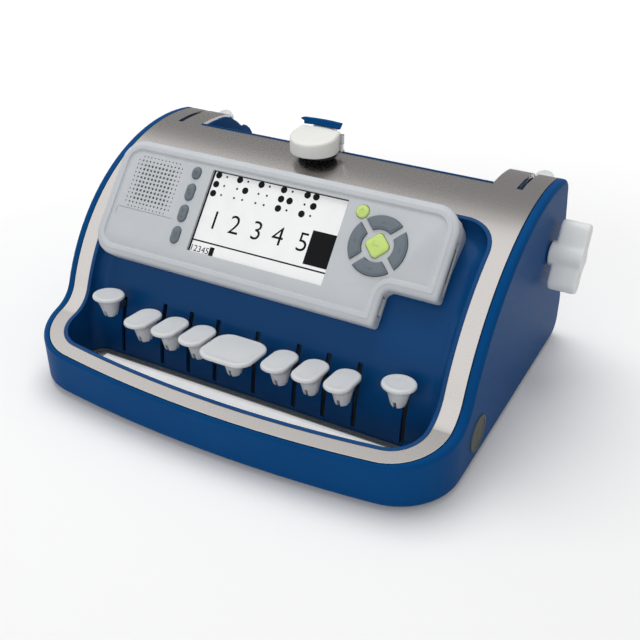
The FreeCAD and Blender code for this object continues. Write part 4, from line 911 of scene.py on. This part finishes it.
for name, (v, length, marks) in PILLS.items():
    cap = flat(f"{name}_top", PILL_WIDTH, length, 3.3, 10)
    cap = place(soft_button(cap, CROWN), moved(PILL_U, v))
    raised = [bar(width, tall, (PILL_U + u, v + up), turn)
              for width, tall, u, up, turn in MARKS[marks]]
    dress(place(join(f"{name}_top", [cap, *raised]), PANEL), slate_rubber, f"{name}_push",
          f"{name}_button")
print(len(PILLS), "pill buttons")

# %% Power and OK buttons
cap = begin("circle", "power_top", vertices=40, radius=4.3 * MM, fill_type="NGON")
cap = place(soft_button(cap, CROWN), moved(*POWER))
bpy.ops.mesh.primitive_torus_add(major_radius=1.3 * MM, minor_radius=0.25 * MM, major_segments=24,
                                 minor_segments=8, location=Vector((*POWER, BUTTON_TOP)) * MM)
ring = bpy.context.object
dress(place(join("power_top", [cap, ring, bar(0.5, 1.8, (POWER[0], POWER[1] + 1.2))]), PANEL),
      lime_rubber, "power_push", "power_button")

cap = flat("ok_top", 13.0, 13.0, 2.9, 8)
bpy.ops.transform.rotate(value=math.radians(45), orient_axis="Z", center_override=(0, 0, 0))
cap = place(soft_button(cap, CROWN[:-1]), moved(*PAD))
tick = [bar(0.7, 2.6, (PAD[0] - 2.6, PAD[1] + 1.2)), bar(4.6, 0.7, (PAD[0] - 0.6, PAD[1]))]
dress(place(join("ok_top", [cap, *tick]), PANEL), lime_rubber, "ok_push", "ok_button")
print("two lime buttons")

# %% [markdown]
# An arc button is a quarter ring again, pulled up to a block whose upper edges are bevelled. A
# second, narrower one stands on it as the raised ridge that a finger follows.


# %% Arc buttons
def soft_arc(name, outer, inner, gap, low, high, rounding):
    """A quarter ring as a block whose upper edges are rounded."""
    piece = quarter_ring(name, outer, inner, gap)
    shift(0, 0, low)
    pull(0, 0, high - low)
    pick("edges", lambda edge: all(vert.co.z > (high - 0.01) * MM for vert in edge.verts))
    bpy.ops.mesh.bevel(offset=rounding * MM, segments=3)
    return close(piece)


for heading, name in enumerate(("right", "up", "left", "down")):
    base = soft_arc(f"arrow_{name}_top", 19.6, 11.0, ARC_GAP, BUTTON_LOW, BUTTON_TOP - 0.4, 0.5)
    ridge = soft_arc("ridge", 18.6, 12.0, ARC_GAP + 2, BUTTON_TOP - 1.0, BUTTON_TOP, 0.3)
    mark = bar(0.6, 2.8, (15.1, 0))
    arc = join(f"arrow_{name}_top", [base, ridge, mark])
    dress(place(arc, PANEL @ moved(*PAD, turn=90 * heading)), slate_rubber,
          f"arrow_{name}_push", f"arrow_{name}_button")
print("four arcs")

# %% [markdown]
# ## The display
# The display is a white plate with dark figures: five braille cells above the digits one to
# five, a cursor block, a rule, and a small line of digits. The figures stand a few hundredths of
# a millimetre above the plate, so that they need no picture. Digits come from the text tool.

# %% Plate, digits, dots and blocks
PLATE_TOP, INK_RISE = -0.6, 0.05
LARGE_DOT, SMALL_DOT = 2.35, 0.75
DIGITS = ((-44.0, "1"), (-28.0, "2"), (-10.6, "3"), (5.8, "4"), (24.3, "5"))
CELLS = ((-47.6, (0, 1, 2)), (-30.7, (0, 4)), (-13.7, (0,)), (3.8, (0, 1, 2, 4)),
         (21.6, (0, 3, 4, 2)))              # left column, then its large dots, three a column
ROWS, COLUMN = (26.6, 20.1, 13.5), 6.5


def figure(shape, spot, size, bold=-0.1):
    """Flat digits, as a mesh."""
    bpy.ops.object.select_all(action="DESELECT")
    bpy.ops.object.text_add(location=(spot[0] * MM, spot[1] * MM, (PLATE_TOP + INK_RISE) * MM))
    text = bpy.context.object
    text.data.body, text.data.size, text.data.offset = shape, size * MM, bold * MM
    text.data.resolution_u = 4
    text.data.fill_mode = "BOTH"
    bpy.ops.object.convert(target="MESH")
    return bpy.context.object


def disc(radius, u, v):
    """A braille dot."""
    bpy.ops.object.select_all(action="DESELECT")
    bpy.ops.mesh.primitive_circle_add(vertices=28, radius=radius * MM, fill_type="NGON",
                                      location=(u * MM, v * MM, (PLATE_TOP + INK_RISE) * MM))
    return bpy.context.object


def block(u, v, width, length):
    """A flat dark block; a rule is one that is thin."""
    return peg("block", width, length, 0.05, (u, v), PLATE_TOP - 0.1, PLATE_TOP + INK_RISE)


plate = peg("display_plate", 109.0, 63.0, 0.5, (0.0, 0.1), -4.0, PLATE_TOP)
dress(place(plate, PANEL), white_and_painted_glint, "base", "lcd_panel")
marks = [figure(digit, (u, -10.6), 18.5) for u, digit in DIGITS]
marks.append(figure("12345", (-51.3, -28.2), 6.2, 0.0))
for u, large in CELLS:
    for dot in range(6):
        marks.append(disc(LARGE_DOT if dot in large else SMALL_DOT,
                          u + COLUMN * (dot // 3), ROWS[dot % 3]))
# The last two blocks are painted shadow: dark bands along the left and top edges, where the recess
# wall throws its shade.
BLOCKS = ((42.7, -6.5, 18.2, 22.9), (0, -20.5, 104, 1.0), (-34, -25.8, 3.5, 6.0),
          (-51.4, 0, 1.3, 58.4), (0, 29.0, 104, 0.9))     # cursor, rule, small cursor, two edges
marks += [block(*sizes) for sizes in BLOCKS]
dress(place(join("display_figures", marks), PANEL), ink_and_painted_shade, "base")
print(len(marks), "figures")

# %% [markdown]
# ## The return lever
# The lever's grip is half a disc that runs on into straight sides, so a circle is halved and its
# straight edge pulled back. Its top rises in rings and is tilted to the rear, its underside is
# pulled down and levelled. The arm is a plate drawn from the side, with a bore for the hinge,
# and a union makes it one with the grip.

# %% Lever grip
GRIP_X, GRIP_Y, GRIP_RADIUS, GRIP_REAR = -9.5, 39.4, 17.0, 10.6
GRIP_FRONT_Z, GRIP_REAR_Z, GRIP_LOW_Z, TOP_ROUNDING = 155.0, 159.0, 145.0, 2.2
REAR_HALF, REAR_CORNER = 15.5, 1.5
SLOPE = math.atan2(GRIP_REAR_Z - GRIP_FRONT_Z, GRIP_RADIUS + GRIP_REAR)
SHRINK_ROUND = (0, -3 * MM, 0)          # the point that the grip's rings shrink towards
UNDERSIDE = ((1.2, 1.0), (0.35, 0.985), (0.0, 0.94))            # height over the lowest, scale

grip = begin("circle", "lever_grip", vertices=96, radius=GRIP_RADIUS * MM, fill_type="NGON")
whole()
bpy.ops.mesh.bisect(plane_co=(0, 0, 0), plane_no=(0, 1, 0), clear_outer=True)
pick("edges", lambda edge: all(abs(vert.co.y) < 0.01 * MM for vert in edge.verts))
pull(0, GRIP_REAR, 0)
resize(REAR_HALF / GRIP_RADIUS, 1, 1)
pick("verts", lambda vert: vert.co.y > 1 * MM)
bpy.ops.mesh.bevel(affect="VERTICES", offset=REAR_CORNER * MM, segments=4)
one_face()
shift(0, 0, GRIP_FRONT_Z - TOP_ROUNDING)
for inwards, up in (*quarter_round(TOP_ROUNDING, 5), (3.0, 0.15)):
    pull(0, 0, up)
    scale = 1 - inwards / GRIP_RADIUS
    resize(scale, scale, 1, center_override=SHRINK_ROUND)
whole()
bpy.ops.mesh.normals_make_consistent(inside=False)
bpy.ops.transform.rotate(value=-SLOPE, orient_axis="X",
                         center_override=(0, -GRIP_RADIUS * MM, GRIP_FRONT_Z * MM))
pick("faces", lambda face: face.normal.z < -0.9)
for low, scale in UNDERSIDE:
    pull(0, 0, -1)
    level(GRIP_LOW_Z + low)
    resize(scale, scale, 1, center_override=SHRINK_ROUND)
place(close(grip, 40), moved(GRIP_X, GRIP_Y))
print("grip", [round(side / MM, 1) for side in grip.dimensions])

# %% Lever arm
ARM_HALF, HINGE, BORE_RADIUS = 7.8, (72.0, 121.0), 2.55
SIDE = ((49.0, 146.0), (58.2, 146.0), (66.8, 125.5), (67.2, 116.6), (76.8, 116.6), (77.0, 126.0),
        (57.0, 158.0), (49.0, 158.0))           # the arm seen from the side: y, z
arm = side_plate("lever_arm", SIDE, GRIP_X - ARM_HALF, GRIP_X + ARM_HALF, 0.6)
carve(arm, crossbar("bore", BORE_RADIUS, 40.0, (GRIP_X, *HINGE), 32))
carve(grip, arm, "UNION")
smooth_up_to(40)
dress(grip, lever_white, "return_lever", "carriage_lever")
print(len(grip.data.polygons), "faces in the lever")

# %% [markdown]
# Under the grip sits a black disc of painted shade, an oval that stands for the grip's shadow and
# its dark reflection on the cover. It is tilted as the cover below it is, so that it still clears
# the cover when the lever is pressed. Behind the grip stands a thin curved sheet with a pointed
# left wing, and beside it a small bright latch.

# %% Painted shade disc under the grip
SHADE_DISC_RADIUS, SHADE_DISC_DEPTH, SHADE_DISC_LOW_Z, SHADE_DISC_TILT = 14.6, 0.72, 142.3, math.radians(3.5)
# painted shade: a black disc under the grip, for its shadow and its dark reflection on the cover
shade_disc = begin("circle", "lever_sole", vertices=64, radius=SHADE_DISC_RADIUS * MM, fill_type="NGON")
bpy.ops.transform.rotate(value=-SHADE_DISC_TILT, orient_axis="X", center_override=(0, 0, 0))
resize(1, SHADE_DISC_DEPTH, 1)
shift(GRIP_X + 0.8, GRIP_Y + 2.1, SHADE_DISC_LOW_Z)
pull(0, 0, 1.0)
pull(0, 0, 1.0)
level(GRIP_LOW_Z + 0.2)
dress(close(shade_disc), painted_shade_black, "return_lever")
print("shade_disc", [round(side / MM, 1) for side in shade_disc.dimensions])

# %% Rest and latch
REST_LOW, REST_HIGH, REST_RISE, REST_WALL = 13.5, 14.6, 4.2, 3.4         # half widths, height
REST_BOW, REST_RINGS, WING = 2.2, 6, 2.2
REST_PLACE, REST_LEAN = (GRIP_X, 51.0, 158.9), math.radians(-9)
rest = begin("plane", "lever_rest", size=1.0)
resize(2 * REST_LOW * MM, REST_WALL * MM, 1)
bpy.ops.mesh.subdivide(number_cuts=12)
form = bmesh.from_edit_mesh(rest.data)
for vert in form.verts:
    vert.co.y += REST_BOW * MM * (1 - (vert.co.x / MM / REST_LOW) ** 2)
bmesh.update_edit_mesh(rest.data)
whole()
widen = 1 + (REST_HIGH / REST_LOW - 1) / REST_RINGS
for _ in range(REST_RINGS):
    pull(0, 0.1, REST_RISE / REST_RINGS)
    resize(widen, 1, 1, center_override=(0, 0, 0))
pick("faces", lambda face: face.normal.x < -0.7 and middle(face).z > REST_RISE * 0.45)
pull(-WING, 0, 0.1)
resize(1, 1, 0.3)
close(rest)
modify(rest, "BEVEL", width=0.35 * MM, segments=2, limit_method="ANGLE")
place(rest, moved(*REST_PLACE) @ Matrix.Rotation(REST_LEAN, 4, "X"))
dress(rest, blue_skirt, "return_lever", "lever_cap")

latch = join("latch_plate", [peg("upper", 5.4, 3.0, 1.2, (6.5, 47.8), 151.0, 156.8),
                             peg("lower", 5.0, 3.6, 1.2, (6.3, 47.5), 145.6, 150.6),
                             peg("spine", 3.6, 1.6, 0.5, (5.6, 48.2), 144.0, 155.6)])
dress(latch, bright_metal, "return_lever", "lever_latch")
print("rest", [round(side / MM, 1) for side in rest.dimensions])

# %% [markdown]
# ## Knobs
# A knob is a paddle with a round middle. Its outer rims are bevelled, then a round barrel is
# joined to it, and the two are remeshed into one skin and smoothed, so that they flow into each
# other as in one casting. It is made upright and then turned on its side.

# %% Two knobs
KNOB_Y, KNOB_Z, KNOB_TILT = 68.0, 94.0, math.radians(27)
KNOB_FACE, KNOB_WIDTH, KNOB_RIM = 158.6, 20.0, 3.6
BARREL_RADIUS, BARREL_LENGTH, BARREL_MIDDLE = 8.5, 23.0, 8.5
knobs = []
for side in (1, -1):
    paddle = peg("paddle", 11.4, 48.0, 5.6, (0, 0), 0, KNOB_WIDTH)
    modify(paddle, "BEVEL", width=KNOB_RIM * MM, segments=4, limit_method="ANGLE",
           angle_limit=math.radians(60))
    barrel = begin("cylinder", "barrel", vertices=64, radius=BARREL_RADIUS * MM,
                   depth=BARREL_LENGTH * MM)
    shift(0, 0, BARREL_MIDDLE)
    carve(paddle, close(barrel), "UNION")
    modify(paddle, "REMESH", mode="VOXEL", voxel_size=0.55 * MM)
    modify(paddle, "SMOOTH", factor=0.5, iterations=30)
    bpy.ops.object.shade_smooth()
    turn = Matrix(((0, 0, side), (side * math.cos(KNOB_TILT), math.sin(KNOB_TILT), 0),
                   (-side * math.sin(KNOB_TILT), math.cos(KNOB_TILT), 0))).to_4x4()
    paddle.name = paddle.data.name = "right_paddle" if side > 0 else "left_paddle"
    place(paddle, moved(side * KNOB_FACE, KNOB_Y, KNOB_Z) @ turn)
    knobs.append(dress(paddle, knob_grey, "roller", "right_knob" if side > 0 else "left_knob"))
print([[round(side / MM, 1) for side in knob.dimensions] for knob in knobs])

# %% [markdown]
# ## Ends of the paper opening
# The opening is bordered by blue: a thin lip along its front edge and, at each end, a cheek,
# which is a thin plate whose outline shows two humps from the side. The slots of the release
# levers get a blue lining that is open where the levers swing.

# %% Lip, cheeks and slot linings
CROWN_Z, OPENING_Y, OPENING_HALF, RELEASE_X = 141.0, 55.1, 115.1, 133.4
lip = peg("opening_lip", 2 * OPENING_HALF, 1.1, 0.4, (0, OPENING_Y + 0.45), CROWN_Z - 5.0,
          CROWN_Z + 0.35)
dress(lip, blue_skirt, "base")

CHEEK = ((56.5, 119.0), (56.5, 138.3), (75.0, 138.0), (86.0, 137.0), (92.0, 135.0), (97.0, 132.0),
         (102.0, 128.5), (106.0, 124.9), (108.4, 122.9), (112.0, 122.9), (116.0, 120.8),
         (120.0, 117.2), (122.6, 113.4), (123.2, 108.0), (104.0, 108.0), (98.0, 119.0))
CHEEK_INSIDE, CHEEK_OUTSIDE = 113.8, OPENING_HALF + 0.2        # clear of the carriage's travel
cheeks = [side_plate("opening_cheeks", CHEEK, *span, 0.5)
          for span in ((-CHEEK_OUTSIDE, -CHEEK_INSIDE), (CHEEK_INSIDE, CHEEK_OUTSIDE))]
linings = [carve(peg("lining", 5.0, 28.0, 0.5, (side * RELEASE_X, 66.0), 132.0, 138.4),
                 peg("swing", 4.0, 28.0, 0.5, (side * RELEASE_X, 71.5), 130.0, 140.0))
           for side in (1, -1)]
cheeks = join("opening_cheeks", [*cheeks, *linings])
dress(cheeks, blue_skirt, "base")
print("cheeks", [round(side / MM, 1) for side in cheeks.dimensions])

# %% [markdown]
# ## Side plugs
# A plug closes a round hole low in each side wall. A disc climbs a rounded rim, a flat ring, a
# small step down and a shallow middle, and is then turned to face outwards.

# %% Two plugs
PLUG_FACE, PLUG_Y, PLUG_Z, PLUG_RADIUS, PLUG_DEPTH = 155.3, -51.0, 23.0, 12.4, 2.4
PLUG_STEPS = [*quarter_round(0.5, 3), (1.6, 0.0), (0.3, -0.5), (7.6, 0.0), (0.3, 0.3)]
plugs = []
for side in (1, -1):
    plug = begin("circle", "plug", vertices=64, radius=PLUG_RADIUS * MM, fill_type="NGON")
    climb(*PLUG_STEPS)
    pick("edges", lambda edge: edge.is_boundary)
    pull(0, 0, -PLUG_DEPTH)
    turn = Matrix(((0, 0, side), (side, 0, 0), (0, 1, 0))).to_4x4()
    plugs.append(place(close(plug), moved(side * PLUG_FACE, PLUG_Y, PLUG_Z) @ turn))
dress(join("plug_discs", plugs), plug_dark_and_shade, "base", "side_plugs")
print("plugs", [round(side / MM, 1) for side in plugs[0].dimensions])
